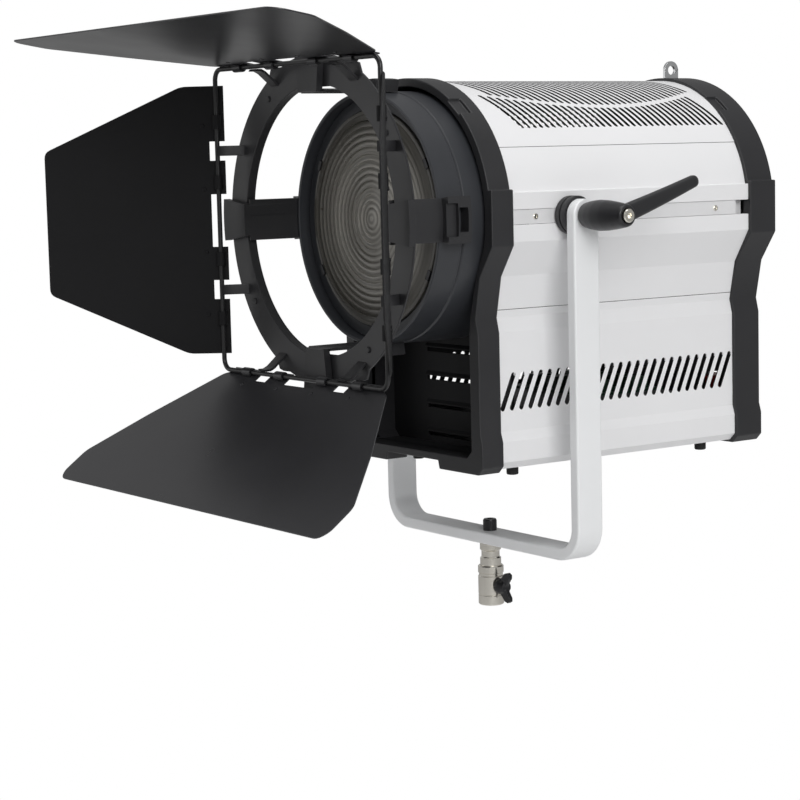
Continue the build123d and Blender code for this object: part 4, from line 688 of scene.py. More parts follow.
def roof_tree():
    """Slanting slots in rows along the roof, cut short on both sides of a curving plain stripe.

    The piece that comes in is one short blade whose share attribute runs from -1 at its inner end to 1 at its
    outer end. Angles are measured from the top of the roof.
    """
    rows = Pattern("roof slots", (
        ("Count", "Int"), ("First", "Float"), ("Pitch", "Float"), ("Lean", "Float"), ("Radius", "Float"),
        ("Inner Angle", "Float"), ("Outer Angle", "Float"), ("Stripe Low", "Float"), ("Stripe High", "Float"),
        ("Stripe Half", "Float"), ("Middle", "Float"), ("Half Length", "Float"), ("Side", "Float"),
        ("Axis Height", "Float"), ("Finish", "Material")))
    size, math = rows.size, rows.math

    def position():
        point = rows.add("GeometryNodeInputPosition").outputs[0]
        return rows.add("ShaderNodeSeparateXYZ", {0: point}).outputs

    def drift_at(angle, home):
        """How far the lean has carried a slot along the roof at an angle."""
        out = math("MULTIPLY", math("SUBTRACT", angle, home), size("Radius"))
        return math("MULTIPLY", out, math("TANGENT", size("Lean")))

    def band(inner_side):
        """One band of slots: between the spine and the stripe, or between the stripe and the lower edge."""
        start = rows.add("ShaderNodeCombineXYZ", {"Y": size("First")})
        step = rows.add("ShaderNodeCombineXYZ", {"Y": size("Pitch")})
        line = rows.add("GeometryNodeMeshLine", {
            "Count": size("Count"), "Start Location": start.outputs[0], "Offset": step.outputs[0]})
        place = position()["Y"]
        away = math("DIVIDE", math("SUBTRACT", place, size("Middle")), size("Half Length"))
        stripe = math("MULTIPLY_ADD", math("SUBTRACT", size("Stripe High"), size("Stripe Low")),
                      math("MULTIPLY", away, away), size("Stripe Low"))
        if inner_side:
            low, high = size("Inner Angle"), math("SUBTRACT", stripe, size("Stripe Half"))
        else:
            low, high = math("ADD", stripe, size("Stripe Half")), size("Outer Angle")
        middle = math("MULTIPLY", math("ADD", low, high), 0.5)
        reach = math("MULTIPLY", math("SUBTRACT", high, low), 0.5)
        home = math("MULTIPLY", size("Outer Angle"), 0.5)
        centre = math("SUBTRACT", math("ADD", place, drift_at(middle, home)), size("Middle"))
        end = math("ADD", math("ABSOLUTE", centre), drift_at(reach, 0))
        over = math("GREATER_THAN", end, math("SUBTRACT", size("Half Length"), 3 * MM))
        held = rows.add("GeometryNodeDeleteGeometry", {"Geometry": line.outputs[0], "Selection": over},
                        domain="POINT").outputs[0]
        for label, value in (("row", place), ("centre", middle), ("reach", reach), ("home", home)):
            note = {"Geometry": held, "Name": label, "Value": value}
            held = rows.add("GeometryNodeStoreNamedAttribute", note, data_type="FLOAT", domain="POINT")
            held = held.outputs[0]
        copies = rows.add("GeometryNodeInstanceOnPoints", {"Points": held, "Instance": size("Geometry")})
        return rows.add("GeometryNodeRealizeInstances", {"Geometry": copies.outputs[0]}).outputs[0]

    def stored(label):
        return rows.add("GeometryNodeInputNamedAttribute", {"Name": label}, data_type="FLOAT").outputs[0]

    both = rows.add("GeometryNodeJoinGeometry")
    for inner_side in (True, False):
        rows.tree.links.new(band(inner_side), both.inputs[0])
    split = position()
    turn = math("ADD", math("MULTIPLY_ADD", stored("share"), stored("reach"), stored("centre")),
                math("DIVIDE", split["X"], size("Radius")))
    out = math("ADD", size("Radius"), split["Z"])
    placed = rows.add("ShaderNodeCombineXYZ", {
        "X": math("MULTIPLY", math("MULTIPLY", math("SINE", turn), out), size("Side")),
        "Y": math("ADD", split["Y"], drift_at(turn, stored("home"))),
        "Z": math("MULTIPLY_ADD", math("COSINE", turn), out, size("Axis Height"))})
    moved = rows.add("GeometryNodeSetPosition", {"Geometry": both.outputs[0], "Position": placed.outputs[0]})
    rows.end(moved.outputs[0], size("Finish"))
    return rows


ROW, WHEEL, ROOF_ROWS = row_tree(), wheel_tree(), roof_tree()


def row_of(piece, count, step, material):
    """Repeats a piece along a row; step is in millimetres."""
    return ROW.applied(piece, {"Count": count, "Step": [v * MM for v in step], "Finish": material})


def wheel_of(piece, count, centre, material):
    """Repeats a piece about a line along Y through centre, in millimetres."""
    return WHEEL.applied(piece, {"Count": count, "Centre": [v * MM for v in centre], "Finish": material})


# ======== yoke, receiver and levers ========

def yoke_strap():
    """A flat bar bent into a U, with round arm ends and soft edges; sizes to the middle of the bar."""
    arm, floor, bend, half_depth, half_thick = 129.0, 59.0, 23.0, 13.0, 5.0
    steps = 12
    path = []
    for i in range(steps, 0, -1):
        path.append((arm, AXIS + half_depth * sin(pi / 2 * i / steps) * 0.995, (-1, 0)))
    path += [(arm, AXIS, (-1, 0)), (arm, floor + bend, (-1, 0))]
    for i in range(1, steps + 1):
        c, s = cos(pi / 2 * i / steps), sin(pi / 2 * i / steps)
        path.append((arm - bend + bend * c, floor + bend - bend * s, (-c, s)))
    path += [(-x, z, (-nx, nz)) for x, z, (nx, nz) in reversed(path)]
    rings = []
    for x, z, (nx, nz) in path:
        half = sqrt(max(half_depth ** 2 - max(z - AXIS, 0) ** 2, 1))
        section = rounded_box(half_thick, half, min(2.0, half * 0.6))
        rings.append([(x + nx * a, b, z + nz * a) for a, b in section])
    return lofted("yoke_bar", rings)


def stand_socket():
    """The nickel receiver: a bored barrel with turned grooves and a slim neck."""
    barrel_wall = [(8.1, 0), (10.2, 0), (11, 0.9), (11, 8), (10.7, 8.3), (10.7, 8.9), (11, 9.2), (11, 24.6),
                   (10.3, 25.2), (10.3, 27.2), (11, 27.8), (11, 33.1), (10.2, 34)]
    neck = [(9, 34), (9, 40.4), (8.4, 40.8), (7.8, 41.6), (7.8, 46.4), (8.4, 47.2), (9, 47.6), (9, 53.6),
            (8.6, 54), (0, 54)]
    return lathe("receiver", [*barrel_wall, *neck, (0, 32), (8.1, 32)], 96, upright)


def hexagon(radius):
    """The outline of a hexagon socket."""
    return arc(radius, 0, 2 * pi, 6)[:-1]


def yoke_bolt():
    """The cap bolt in the yoke's floor, with its hexagon socket."""
    head = lathe("yoke_bolt_head", [(0, 64), (5.9, 64), (5.9, 72.6), (5.2, 73.9), (0, 73.9)], 64, upright)
    key = prism("key", hexagon(3), 69, 76, place=lambda a, b, d: (a, b, d))
    shank = lathe("shank", [(0, 37.5), (5, 37.5), (5, 64.1), (0, 64.1)], 32, upright)
    return joined([cut(head, key), shank])


def wing_screw():
    """A moulded wing knob on its threaded shank."""
    height = 17
    line = along_x(0, height - AXIS)
    shank = lathe("wing_knob", [(0, 8.5), (3, 8.5), (3, 15), (0, 15)], 24, line)
    hub = lathe("hub", [(0, 13), (7, 13), (6.6, 16), (4.8, 21.6), (0, 22)], 32, line)
    wings = []
    for up in (1, -1):
        blade = [(15, 0), (15, up * 6), (21, up * 12.2), (24.5, up * 13), (27.2, up * 11.6), (27.4, up * 8.6),
                 (21, 0)]
        wings.append(prism("wing", blade, -2.0, 2.0, place=lambda a, b, d: (a, d, height + b)))
    return moulded(joined([shank, hub, *wings]), 0.5, 4)


def friction_washers():
    """A grooved washer on each side, between the head and the yoke's arm."""
    profile = [(5.2, 112.9), (14.8, 112.9), (15.5, 113.6), (15.5, 118.2), (13.6, 118.6), (13.6, 119.6),
               (15.5, 120), (15.5, 123.3), (14.8, 124), (5.2, 124)]
    return joined([lathe(f"friction_washer_{name}", profile, 80, along_x(0, side=side))
                   for side, name in SIDES])


HANDLE_BASE, HANDLE_LENGTH = YOKE_FACE + 0.4, 50.0


def clamp_lever(side):
    """A moulded ratchet handle: barrel-shaped hub, slim arm that leaves its outer end."""
    profile = [(5.4, 0), (9.4, 0), (10.1, 1.2), (11.6, 9), (12.3, 17), (11.9, 27), (10.6, 38), (9.1, 47),
               (8.2, 49.2), (5.9, 49.6), (5.9, 46), (5.4, 46)]
    hub = lathe("lever_handle", profile, 64, along_x(HANDLE_BASE, side=side))
    c, s = cos(radians(18)), sin(radians(18))
    root, tip_start, tip_length = 6, 79.3, 4.4
    stations = [(root + (tip_start - root) * i / 12, 1.0) for i in range(13)]
    stations += [(tip_start + tip_length * sin(pi * i / 14), cos(pi * i / 14)) for i in range(1, 7)]
    rings = []
    for reach, tip in stations:
        share = (reach - root) / 77.5
        wide, thick = (7.4 - 2.6 * share) * tip, (4.4 - 0.3 * share) * (0.35 + 0.65 * tip)
        out = HANDLE_BASE + HANDLE_LENGTH - 8.6 + 1.4 * sin(pi * share)
        section = rounded_box(thick, wide, min(thick, wide) * 0.75)
        rings.append([(side * (out + a), reach * c - b * s, AXIS + reach * s + b * c) for a, b in section])
    return moulded(joined([hub, lofted("arm", rings)]), 0.8, 5)


def lever_button(side):
    """The bright release button with its hexagon socket."""
    face = HANDLE_BASE + HANDLE_LENGTH
    cap = lathe("release_button", [(0, -3.6), (5.4, -3.6), (5.4, 0.7), (4.7, 1.4), (0, 1.45)], 48,
                along_x(face, side=side))
    key = prism("key", hexagon(2.3), face - 1.6, face + 3, place=lambda a, b, d: (side * d, a, AXIS + b))
    return cut(cap, key)


def yoke_group():
    dress(yoke_strap(), YOKE_PAINT, "yoke_strap", angle=40)
    dress(stand_socket(), NICKEL, "stand_socket")
    dress(yoke_bolt(), BLACKED_STEEL, "yoke_bolt")
    dress(friction_washers(), MOULDED_BLACK, "pivot_spacers")
    dress(wing_screw(), BLACKED_STEEL, "wing_screw")
    for side, name in SIDES:
        dress(clamp_lever(side), HANDLE_BLACK, f"{name}_lever", angle=50)
        dress(lever_button(side), NICKEL, f"{name}_lever_button")


yoke_group()


# ======== moulded frames ========

def grips(face):
    """Shallow pockets in a frame's outer edge: one each side high on the arch, for lifting the frame off."""
    pockets = []
    for angle in (52, 128):
        c, s = cos(radians(angle)), sin(radians(angle))

        def on_arch(a, b, d):
            return ((ARCH + b) * c - a * s, d, AXIS + (ARCH + b) * s + a * c)

        pockets.append(prism("pocket", box_outline(-9, 9, -2.6, 4), face + 11, face - 2, place=on_arch))
    return pockets


def frame_ring(name, front, back):
    """One of the two moulded frames: the stepped outline, with the smooth opening cut through."""
    shell = prism(name, mirrored(head_half(0)), front, back)
    return cut(shell, prism("opening", mirrored(opening_half(0)), front - 5, back + 5))


def front_frame():
    """The front frame, its raised foot, grip pockets, and the sleeve that lines the recess."""
    shell = frame_ring("front_moulding", FRONT, FRAME_BACK)
    gap = prism("gap", [(-39, -210), (39, -210), (36, -198), (-36, -198)], FRONT - 5, FRAME_BACK + 5)
    shell = rounded(cut(shell, gap, *grips(FRONT)), 1.6, 3, 30)
    sleeve = prism("sleeve", mirrored(opening_half(SKIN)), FRAME_BACK - 4, BULKHEAD_FRONT)
    bore = prism("bore", mirrored(opening_half(0)), FRAME_BACK - 20, BULKHEAD_FRONT + 5)
    return joined([shell, cut(sleeve, bore)])


def rear_frame():
    """The rear frame with its grip pockets."""
    return rounded(cut(frame_ring("rear_moulding", SKIN_BACK, REAR_BACK), *grips(SKIN_BACK)), 1.8, 3, 30)


def frame_group():
    dress(front_frame(), MOULDED_BLACK, "front_frame")
    dress(rear_frame(), MOULDED_BLACK, "rear_frame")
    eased("front_bulkhead", RECESS_SHADE_BLACK, 0.4, 1)


frame_group()


# ======== painted skin ========

def skin_line(inset, top, bottom, steps=40):
    """The right side of the skin's outline between two heights, from the top down."""
    half = head_half(inset, steps)
    line = []
    for (a0, b0), (a1, b1) in zip(half, half[1:]):
        if b0 > top >= b1 and b0 != b1:
            line.append((a0 + (a1 - a0) * (b0 - top) / (b0 - b1), top))
        if bottom <= b1 < top:
            line.append((a1, b1))
        if b0 > bottom > b1:
            line.append((a0 + (a1 - a0) * (b0 - bottom) / (b0 - b1), bottom))
    return line


def skin_strip(name, outer, inner):
    """A sheet between an outer and an inner line, pushed along the housing."""
    return prism(name, outer + inner[::-1], FRAME_BACK, SKIN_BACK)


def roof_blade():
    """One short round-ended blade whose share attribute says how far along its slot each point is.

    Its lids are strips of short faces, so that they still follow the curve when it is bent round the roof.
    """
    steps, cap_steps, half = 10, 6, ROOF_SLOT_HALF
    straight = [(0, half, -1 + 2 * i / steps) for i in range(steps + 1)]
    cap = [(a, b, 1) for a, b in arc(half, pi / 2, -pi / 2, cap_steps)[1:-1]]
    loop = straight + cap + [(-a, -b, -share) for a, b, share in straight + cap]
    widen = 1 / cos(radians(ROOF_LEAN))
    points = [(a, b * widen, level) for level in (-4, 4) for a, b, _ in loop]
    n, far = len(loop), 2 * steps + cap_steps
    lids = [(i, i + 1, far - 1 - i, far - i) for i in range(steps)]
    lids += [tuple(range(steps, steps + cap_steps + 1)), (*range(far, n), 0)]
    faces = lids + [tuple(n + i for i in reversed(lid)) for lid in lids]
    faces += [(i, n + i, n + (i + 1) % n, (i + 1) % n) for i in range(n)]
    mesh = bpy.data.meshes.new("roof_blade")
    mesh.from_pydata([Vector(p) * MM for p in points], [], faces)
    shares = mesh.attributes.new("share", "FLOAT", "POINT")
    shares.data.foreach_set("value", [share for _, _, share in loop] * 2)
    return added("roof_blade", mesh)


def roof_cutter(side):
    """The slots of one side of the roof, as solid cutters."""
    length = SKIN_BACK - FRAME_BACK
    return faced_out(ROOF_ROWS.applied(roof_blade(), {
        "Count": int((length - 2 * ROOF_MARGIN) / ROOF_PITCH) + 1, "First": (FRAME_BACK + ROOF_MARGIN) * MM,
        "Pitch": ROOF_PITCH * MM, "Lean": radians(ROOF_LEAN), "Radius": SKIN_FACE * MM,
        "Inner Angle": radians(3.5), "Outer Angle": radians(50), "Stripe Low": radians(38),
        "Stripe High": radians(25), "Stripe Half": 3.5 / SKIN_FACE,
        "Middle": (FRAME_BACK + SKIN_BACK) / 2 * MM, "Half Length": length / 2 * MM, "Side": float(side),
        "Axis Height": AXIS * MM, "Finish": WHITE_PAINT}))


def roof_cover():
    """The vented roof: a rolled sheet with fine slanting slots and a plain stripe that curves along it."""
    low = asin((ROOF_SEAM + HALF_SEAM) / SKIN_FACE)
    outer, inner = (arc(radius, low, pi - low, 96) for radius in (SKIN_FACE, SKIN_FACE - SKIN))
    return cut(skin_strip("slotted_roof", outer, inner), roof_cutter(1), roof_cutter(-1))


def side_panel(side):
    """The pivot-rail panel: rolled shoulder, rail with its T-shaped channel, and the sloping flank below."""
    top, bottom = ROOF_SEAM - HALF_SEAM, LOWER_SEAM + HALF_SEAM
    outer, inner = (sided(side, skin_line(inset, top, bottom)) for inset in (SKIN_INSET, SKIN_INSET + SKIN))
    mouth = prism("slot", sided(side, box_outline(100, 120, -6, 6)), FRAME_BACK - 5, SKIN_BACK + 5)
    skin = rounded(cut(skin_strip("rail_skin", outer, inner), mouth), 0.4, 2, 25)
    face, lip, floor, back = 111.2, 108.9, 102.9, 99.9
    upper = [(face, 6), (face, 17.6), (back, 17.6)]
    channel = [(lip, -6), (lip, -11), (floor, -11), (floor, 11), (lip, 11), (lip, 6)]
    rail = upper + [(a, -b) for a, b in reversed(upper)] + channel
    return joined([skin, prism("rail", sided(side, rail), -35.8, SKIN_BACK)])


def vent_blade(side):
    """The cutter of the first vent: round-ended, upright in the flank, its top leaning rearwards."""
    length, width, reach, drop, lean = 33, 4.4, 7, 140, radians(23.5)
    caps = [arc(width / 2, start, start + pi, 6) for start in (0, pi)]
    outline = [(a, b + end * (length - width) / 2) for end, cap in zip((1, -1), caps) for a, b in cap]
    blade = prism("vent", outline, -reach, reach, place=lambda a, b, d: (a, b, d))
    along, out = Vector((0, sin(lean), cos(lean))), Vector((side, 0, 0))
    first = (FRAME_BACK + SKIN_BACK) / 2 - VENT_PITCH * (VENT_COUNT - 1) / 2
    place = Matrix.Translation(Vector((side * 91.5, first, AXIS - drop)) * MM)
    blade.data.transform(place @ Matrix((along.cross(out), along, out)).transposed().to_4x4())
    return faced_out(blade)


def lower_panel(side):
    """The lower flank: fine folds, and a row of slanting vents."""
    lines = []
    for inset in (SKIN_INSET, SKIN_INSET + SKIN):
        line = skin_line(inset, LOWER_SEAM - HALF_SEAM, FOOT + inset)
        lines.append(sided(side, line + [(BOTTOM_SEAM, FOOT + inset)]))
    vents = row_of(vent_blade(side), VENT_COUNT, (0, VENT_PITCH, 0), WHITE_PAINT)
    return rounded(cut(skin_strip("vented_flank", *lines), vents), 0.35, 1, 50)


def rail_screws():
    """The socket heads of the two screws in each slide bar."""
    profile = [(0, 0), (2.4, 0), (2.4, 0.7), (2.0, 1.0), (1.2, 1.0), (1.2, 0.4), (0, 0.4)]
    heads = [lathe("rail_screw_heads", profile, 24, along_x(111.9, 0, -34, side)) for side, _ in SIDES]
    return row_of(joined(heads), 2, (0, 194, 0), NICKEL)


def skin_group():
    dress(roof_cover(), ROOF_PAINT, "roof_cover", angle=25)
    for side, name in SIDES:
        dress(side_panel(side), WHITE_PAINT, f"{name}_side_panel", angle=7)
        dress(lower_panel(side), WHITE_PAINT, f"{name}_lower_panel", angle=7)
    eased("bottom_plate", WHITE_PAINT, 0.3, 1)
    eased("rubber_feet", FOOT_RUBBER, 1.2, 3)
    eased("slide_bars", BAR_STEEL, 0.5, 2)
    dress(rail_screws(), NICKEL, "rail_screws")


skin_group()


# ======== barrel, lens and clips ========

def barrel():
    """The turned barrel: rolled rim, a groove behind it, a plain body and the ledge at its back."""
    profile = [(99.0, -120.4), (99.6, -121), (101.3, -121), (RIM, -120.3), (RIM, -98.6), (101.4, -98),
               (101, -97.6), (101.6, -97), (102.1, -96.6), (102.5, -96), (102.5, BULKHEAD_FRONT),
               (95, BULKHEAD_FRONT), (95, -42), (99, -42)]
    return lathe("lens_barrel", profile, 160)


def lens_seat():
    """The ring that the lens sits in."""
    profile = [(82.2, -108), (98.6, -108), (98.6, -110.4), (98, -111), (89, -111), (88.6, -110.6),
               (88.6, -108.6), (82.2, -108.4)]
    return lathe("lens_seat", profile, 128)


def prism_lens():
    """The lens: a flat back and a front of fine prism rings, which stand higher towards the edge."""
    rings, crown, outer = 14, 9.0, 85.0
    step = (outer - crown) / rings
    profile = [(0, LENS_BACK), (LENS_HALF, LENS_BACK), (LENS_HALF, LENS_EDGE + 0.4),
               (LENS_HALF - 0.4, LENS_EDGE), (outer, LENS_EDGE)]
    for i in range(rings):
        far = outer - step * i
        rise = 1.1 + 1.7 * far / outer
        profile += [(far, LENS_EDGE), (far - step + 0.35, LENS_EDGE - rise)]
    profile += [(crown, -113.2), (crown - 2, -114.0), (crown - 5, -114.6), (0, -114.9)]
    return lathe("prism_lens", profile, 180)


def lens_tabs():
    """Six hooked sheet tabs that hold the lens's edge."""
    half = 4.4
    tab = prism("lens_tab", box_outline(88.3, 97.8, -half, half), -109.4, -108.1)
    hook = prism("hook", box_outline(85.6, 89.4, -half, half), -114.4, -113.3)
    wall = prism("wall", box_outline(88.3, 89.4, -half, half), -114.4, -108.3)
    tab = rounded(cut(tab, hook, wall, operation="UNION"), 0.35, 2, 40)
    home = Matrix.Translation((0, 0, AXIS * MM))
    tab.data.transform(home @ Matrix.Rotation(radians(-30), 4, "Y") @ home.inverted())
    return wheel_of(tab, 6, (0, 0, AXIS), BLACKED_STEEL)


def accessory_clip(name, middle, gap):
    """A sheet clip: windowed saddle on the rim, strap through the ring, and an upturned lip in front."""
    inner, half = RIM + gap, 9.4
    outer = inner + CLIP_SHEET
    strap = prism(name, sector(inner, outer, middle, half), -168, CLIP_BACK)
    lip = prism("lip", sector(inner, 135.8, middle, 7.4), -173.3, -167.5)
    saddle = prism("saddle", sector(outer - 0.5, outer + 7.9, middle, half), -119, CLIP_BACK)
    c, s = cos(radians(middle)), sin(radians(middle))

    def cutter(y, half_length, half_width, corner, low):
        """A box pushed outwards through the clip, from a height above its inner face."""
        return prism("window", rounded_box(half_length, half_width, corner), low, 16, place=lambda a, b, d: (
            (inner + d) * c - b * s, a + y, AXIS + (inner + d) * s + b * c))

    window = cutter(-104.5, 4.4, 9.6, 1, -2)
    waist = cutter(-115, 5.4, 13, 0.8, 6.4)
    return rounded(cut(cut(strap, lip, saddle, operation="UNION"), window, waist), 0.7, 2, 40)


def barrel_group():
    dress(barrel(), BARREL_BLACK, "barrel")
    dress(lens_seat(), BARREL_BLACK, "lens_holder")
    dress(prism_lens(), LENS_GLASS, "fresnel_lens", angle=12)
    dress(lens_tabs(), BLACKED_STEEL, "lens_tabs")
    for name, middle in (("right_clip", 0), ("left_clip", 180), ("bottom_clip", -90)):
        dress(accessory_clip(name + "_sheet", middle, CLIP_GAP), CLIP_BLACK, name)
    dress(accessory_clip("top_latch_sheet", 90, LATCH_GAP), CLIP_BLACK, "top_latch")


barrel_group()


# ======== barn door ========

def ring_lugs():
    """Eight bent lugs that reach from the ring to the wire, two on each side."""
    seat = sqrt(132 ** 2 - 64 ** 2) - 4
    lugs = []
    for ox, oz in ((0, 1), (1, 0), (0, -1), (-1, 0)):
        wire, wide = (WIRE_HALF_WIDTH, 4.2) if ox else (WIRE_HALF_HEIGHT, 5.9)
        tip = wire - 3.1
        path = [(seat - 2, -166), (seat + 1, -170), (wire - 5, -179), (tip, -183), (tip, -187.5)]
        for offset in (-LUG_OFFSET, LUG_OFFSET):
            rings = [[(ox * (reach + a) + oz * (offset + b), y + a * 0.6,
                       AXIS + oz * (reach + a) - ox * (offset + b))
                      for a, b in rounded_box(0.9, wide, 0.5, 2)] for reach, y in path]
            lugs.append(lofted("lug", rings))
    return lugs


def door_ring():
    """The barn door's ring: a flat sheet ring with a rolled rim, a back flange, eight lugs and four bolts."""
    profile = [(108.5, -166.6), (108.9, RING_FRONT), (132.6, RING_FRONT), (133, -166.6), (133, -165.3),
               (132.6, -165), (110.9, -165), (110.5, -164.6), (110.5, -159.2), (110.3, -159), (108.7, -159),
               (108.5, -159.2)]
    ring = lathe("door_ring_sheet", profile, 144)
    gusset = [(-70, 108), (-64, 122.5), (-LUG_OFFSET, 124), (LUG_OFFSET, 124), (64, 122.5), (70, 108),
              (60, 106), (-60, 106)]
    gussets = [prism("gusset", [(a, up * b) for a, b in gusset], -166.9, -165.1) for up in (1, -1)]
    bolt = lathe("ring_bolt", [(0, 0), (2.6, 0), (2.6, -0.9), (1.9, -1.5), (0, -1.5)], 20,
                 along_y(120 * cos(0.6), 120 * sin(0.6), RING_FRONT))
    return joined([ring, *ring_lugs(), *gussets, wheel_of(bolt, 4, (0, 0, AXIS), RING_SHEEN)])


def wire_loop():
    """Round wire bent into a rectangle."""
    bend = 9.0
    section = arc(WIRE, 0, 2 * pi, 16)[:-1]
    rings = []
    for turn, a, b in CORNERS:
        for out_x, out_z in arc(1, turn, turn + pi / 2, 8):
            x = a * (WIRE_HALF_WIDTH - bend) + bend * out_x
            z = b * (WIRE_HALF_HEIGHT - bend) + bend * out_z
            rings.append([(x + out_x * u, WIRE_FRONT + v, AXIS + z + out_z * u) for u, v in section])
    return lofted("wire_loop", rings, closed=True)


def leaf_place(outward, opening):
    """A leaf's own frame at its wire: u along the wire, v out along the leaf, w away from the beam."""
    ox, oz = outward
    half = WIRE_HALF_WIDTH if ox else WIRE_HALF_HEIGHT
    c, s = cos(radians(opening)), sin(radians(opening))
    origin = Vector((ox * half, WIRE_FRONT, AXIS + oz * half))
    along, away = Vector((-oz, 0, ox)), Vector((c * ox, s, c * oz))
    reach = away.cross(along)
    return lambda u, v, w: origin + along * u + reach * v + away * w


def leaf_half(wide):
    """Half of a leaf's outline with eased corners, from the wire to the tip."""
    if wide:
        line = [(112, LEAF_BACK), (112, 0), (120, 3), (168, 62), (205, 114), (205, 140), (198, LEAF_TIP),
                (0, LEAF_TIP)]
    else:
        line = [(112, LEAF_BACK), (112, 30), (60, LEAF_TIP), (0, LEAF_TIP)]
    eased_line = [line[0]]
    for p, q, r in zip(*(map(Vector, line[i:]) for i in range(3))):
        ease = min(5, (p - q).length / 2.2, (r - q).length / 2.2)
        start, end = q + (p - q).normalized() * ease, q + (r - q).normalized() * ease
        for t in (0, 0.25, 0.5, 0.75, 1):
            eased_line.append(tuple(start * (1 - t) ** 2 + q * 2 * t * (1 - t) + end * t ** 2))
    return eased_line


def knuckle(place, u):
    """A curl of the leaf's sheet round the wire, with its strap on the leaf's face."""
    curl = arc(3.7, radians(90), radians(375), 20) + arc(2.4, radians(375), radians(90), 20)
    strap = curl + [(2.6, 3.35), (10.5, 3.35), (10.5, 4.1), (0, 4.1)]
    return prism("knuckle", strap, u - 5.9, u + 5.9, place=lambda v, w, d: place(d, v, w))


def leaf_rivets(place, material):
    """Four rivets beside the knuckles, with a head on one face and a foot on the other."""
    def line(r, t, d):
        return place(-79 + r * cos(t), 12.5 + r * sin(t), d)

    head = lathe("rivet", [(0, 3.3), (1.7, 3.3), (1.6, 4.3), (1.0, 4.8), (0, 4.9)], 14, line)
    foot = lathe("rivet_foot", [(0, LEAF_IN), (1.9, LEAF_IN), (1.5, 1.5), (0, 1.3)], 14, line)
    step = (place(1, 0, 0) - place(0, 0, 0)) * 158 / 3
    return row_of(joined([head, foot]), 4, step, material)


def barn_leaf(name, outward, opening, wide, material):
    """A sheet leaf: notched back edge, curled knuckles and rivets."""
    place = leaf_place(outward, opening)
    notches = [(22, NOTCH_REACH), (22, LEAF_BACK), (50, LEAF_BACK), (50, NOTCH_REACH), (66, NOTCH_REACH),
               (66, LEAF_BACK)]
    half = [(0, NOTCH_REACH), *notches, *leaf_half(wide), (0, LEAF_TIP)]
    sheet = rounded(prism(name, mirrored(half), LEAF_IN, LEAF_OUT, place=place), 0.3, 2, 50)
    return joined([sheet, *(knuckle(place, u) for u in KNUCKLES), leaf_rivets(place, material)])


def door_group():
    dress(door_ring(), RING_SHEEN, "door_ring")
    dress(wire_loop(), WIRE_BLACK, "door_loop")
    for name, outward, opening, wide, material in (
            ("top_leaf", (0, 1), 9.5, True, LEAF_LIT_BLACK), ("bottom_leaf", (0, -1), 36, True, LEAF_LIT_BLACK),
            ("left_leaf", (-1, 0), 40, False, LEAF_SHADED_BLACK), ("right_leaf", (1, 0), 53.6, False, LEAF_SHADED_BLACK)):
        dress(barn_leaf(name + "_sheet", outward, opening, wide, material), material, name, angle=40)


door_group()


# ======== rear controls, light engine and inner pieces ========

KNOB_SEAT = PANEL_BACK + 0.4


def ribbed_knob(node, a, b, radius, length, ribs, root):
    """A round control knob: ribbed grip on a skirt, a dished face, and the pointer on it.

    Root is the profile of the shaft that carries it, or of the bore for one, from the centre to the seat.
    """
    top, grip = KNOB_SEAT + length, radius * 0.86
    skirt = [(radius - 0.5, 0), (radius, 0.4), (radius, 2), (radius - 0.5, 2.5), (grip, 3.2)]
    face = [(grip - 0.3, -1.2), (grip - 1.3, -0.2), (grip - 2, 0), (grip - 2.8, -0.5), (0, -0.9)]
    profile = root + [(r, KNOB_SEAT + d) for r, d in skirt] + [(r, top + d) for r, d in face]
    body = lathe(node + "_grip", profile, 72, along_y(a, b))
    rib = prism("rib", rounded_box(0.7, 0.55, 0.3, 2), KNOB_SEAT + 2.2, top - 1.6,
                place=lambda x, z, d: (a + grip + x, d, AXIS + b + z))
    dress(joined([body, wheel_of(rib, ribs, (a, 0, AXIS + b), HANDLE_BLACK)]), HANDLE_BLACK, node)
    pointer = prism(node + "_pointer", rounded_box(0.7, radius * 0.26, 0.5, 2), top - 0.95, top - 0.35,
                    place=lambda x, z, d: (a + x, d, AXIS + b + radius * 0.46 + z))
    dress(pointer, WHITE_PAINT, body=body_of(node), slot="white_skin")


def knobs():
    """The two dials on their shafts, and the focus knob bored for its screw."""
    shaft = [(0, PANEL_BACK - 9), (3, PANEL_BACK - 9), (3, KNOB_SEAT)]
    bore = [(0, KNOB_SEAT + 11), (4, KNOB_SEAT + 11), (4, KNOB_SEAT)]
    ribbed_knob("dimmer_knob", 34, -84, 10, 15, 24, shaft)
    ribbed_knob("colour_knob", 62, -84, 10, 15, 24, shaft)
    ribbed_knob("focus_knob", 0, -88, 15, 22, 36, bore)


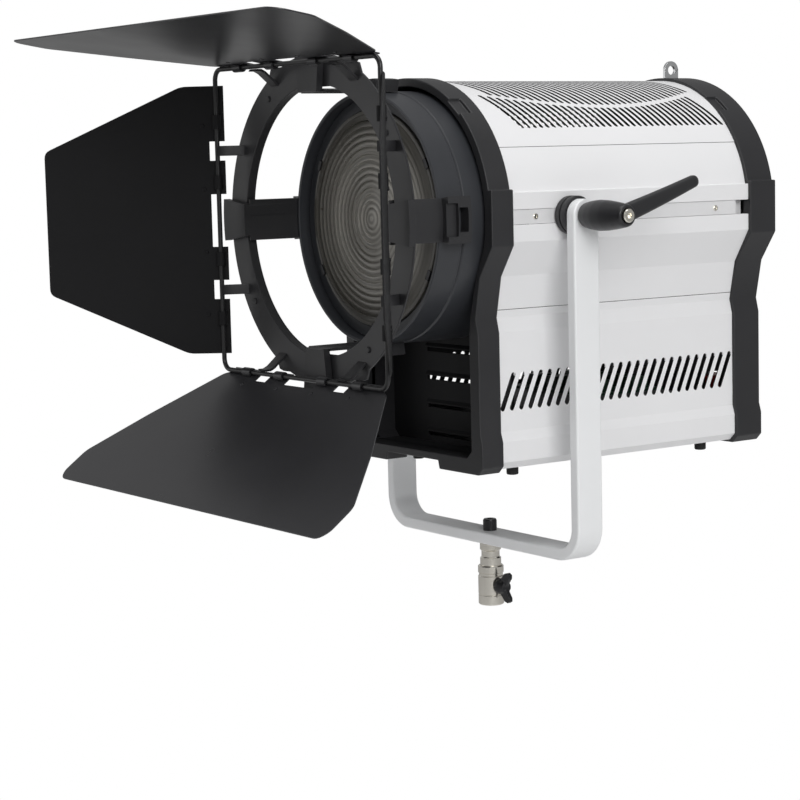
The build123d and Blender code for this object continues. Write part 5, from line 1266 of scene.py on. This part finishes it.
def push_button(node, a, b):
    """A round key with a dished cap and a collar behind the panel."""
    inner, outer = PANEL_BACK - 3.4, PANEL_BACK + 3
    profile = [(0, inner - 2), (5.5, inner - 2), (5.5, inner), (4, inner), (4, outer - 0.6),
               (3.8, outer - 0.2), (3.4, outer), (2.8, outer - 0.1), (0, outer - 0.4)]
    dress(lathe(node + "_cap", profile, 48, along_y(a, b)), BUTTON_GREY, node)


def rear_screws():
    """Round-headed screws near the corners of the rear panel."""
    profile = [(0, -0.2), (3.2, -0.2), (3.2, 0.5), (2.6, 1.2), (1.5, 1.5), (1.3, 0.6), (0, 0.6)]
    pairs = []
    for half, height in ((68, -64), (74, -186)):
        head = lathe("panel_screw", profile, 24, along_y(-half, height, PANEL_BACK))
        pairs.append(row_of(head, 2, (2 * half, 0, 0), NICKEL))
    dress(joined(pairs), NICKEL, body="head", slot="bar_steel")


def mirror_cone():
    """The bright reflector in front of the light source."""
    profile = [(25, 26), (26.5, 26), (39.5, -8.6), (39.2, -9), (38.2, -9), (38, -8.6)]
    dress(lathe("mirror_cone", profile), MIRROR_CONE, "reflector")


def control_group():
    coat(BAR_STEEL, "focus_rails", "focus_screw", "pivot_studs")
    coat(BOARD_GREEN, "driver_board")
    coat(BOARD_WHITE, "led_module")
    coat(DARK_ALUMINIUM_AND_SHADE, "focus_carriage")
    eased("power_supply", CASE_GREY_AND_SHADE, 0.8, 2)
    eased("heat_sink", DARK_ALUMINIUM_AND_SHADE, 0.25, 1)
    eased("fan_rotor", HANDLE_BLACK, 0.25, 1)
    eased("fan_frame", HANDLE_BLACK, 0.6, 2)
    eased("control_sockets", HANDLE_BLACK, 0.3, 1)
    eased("mains_inlet", HANDLE_BLACK, 0.4, 2)
    eased("rear_panel", PANEL_BLACK, 0.4, 2)
    eased("display_window", DISPLAY_TINT, 0.5, 3)
    eased("power_rocker", ROCKER_RED, 0.6, 3)
    for i in range(4):
        push_button(f"button_{i + 1}", 14 * i - 69, -110)
    knobs()
    rear_screws()
    eased("safety_eye", EYE_STEEL, 0.6, 3)
    mirror_cone()


control_group()
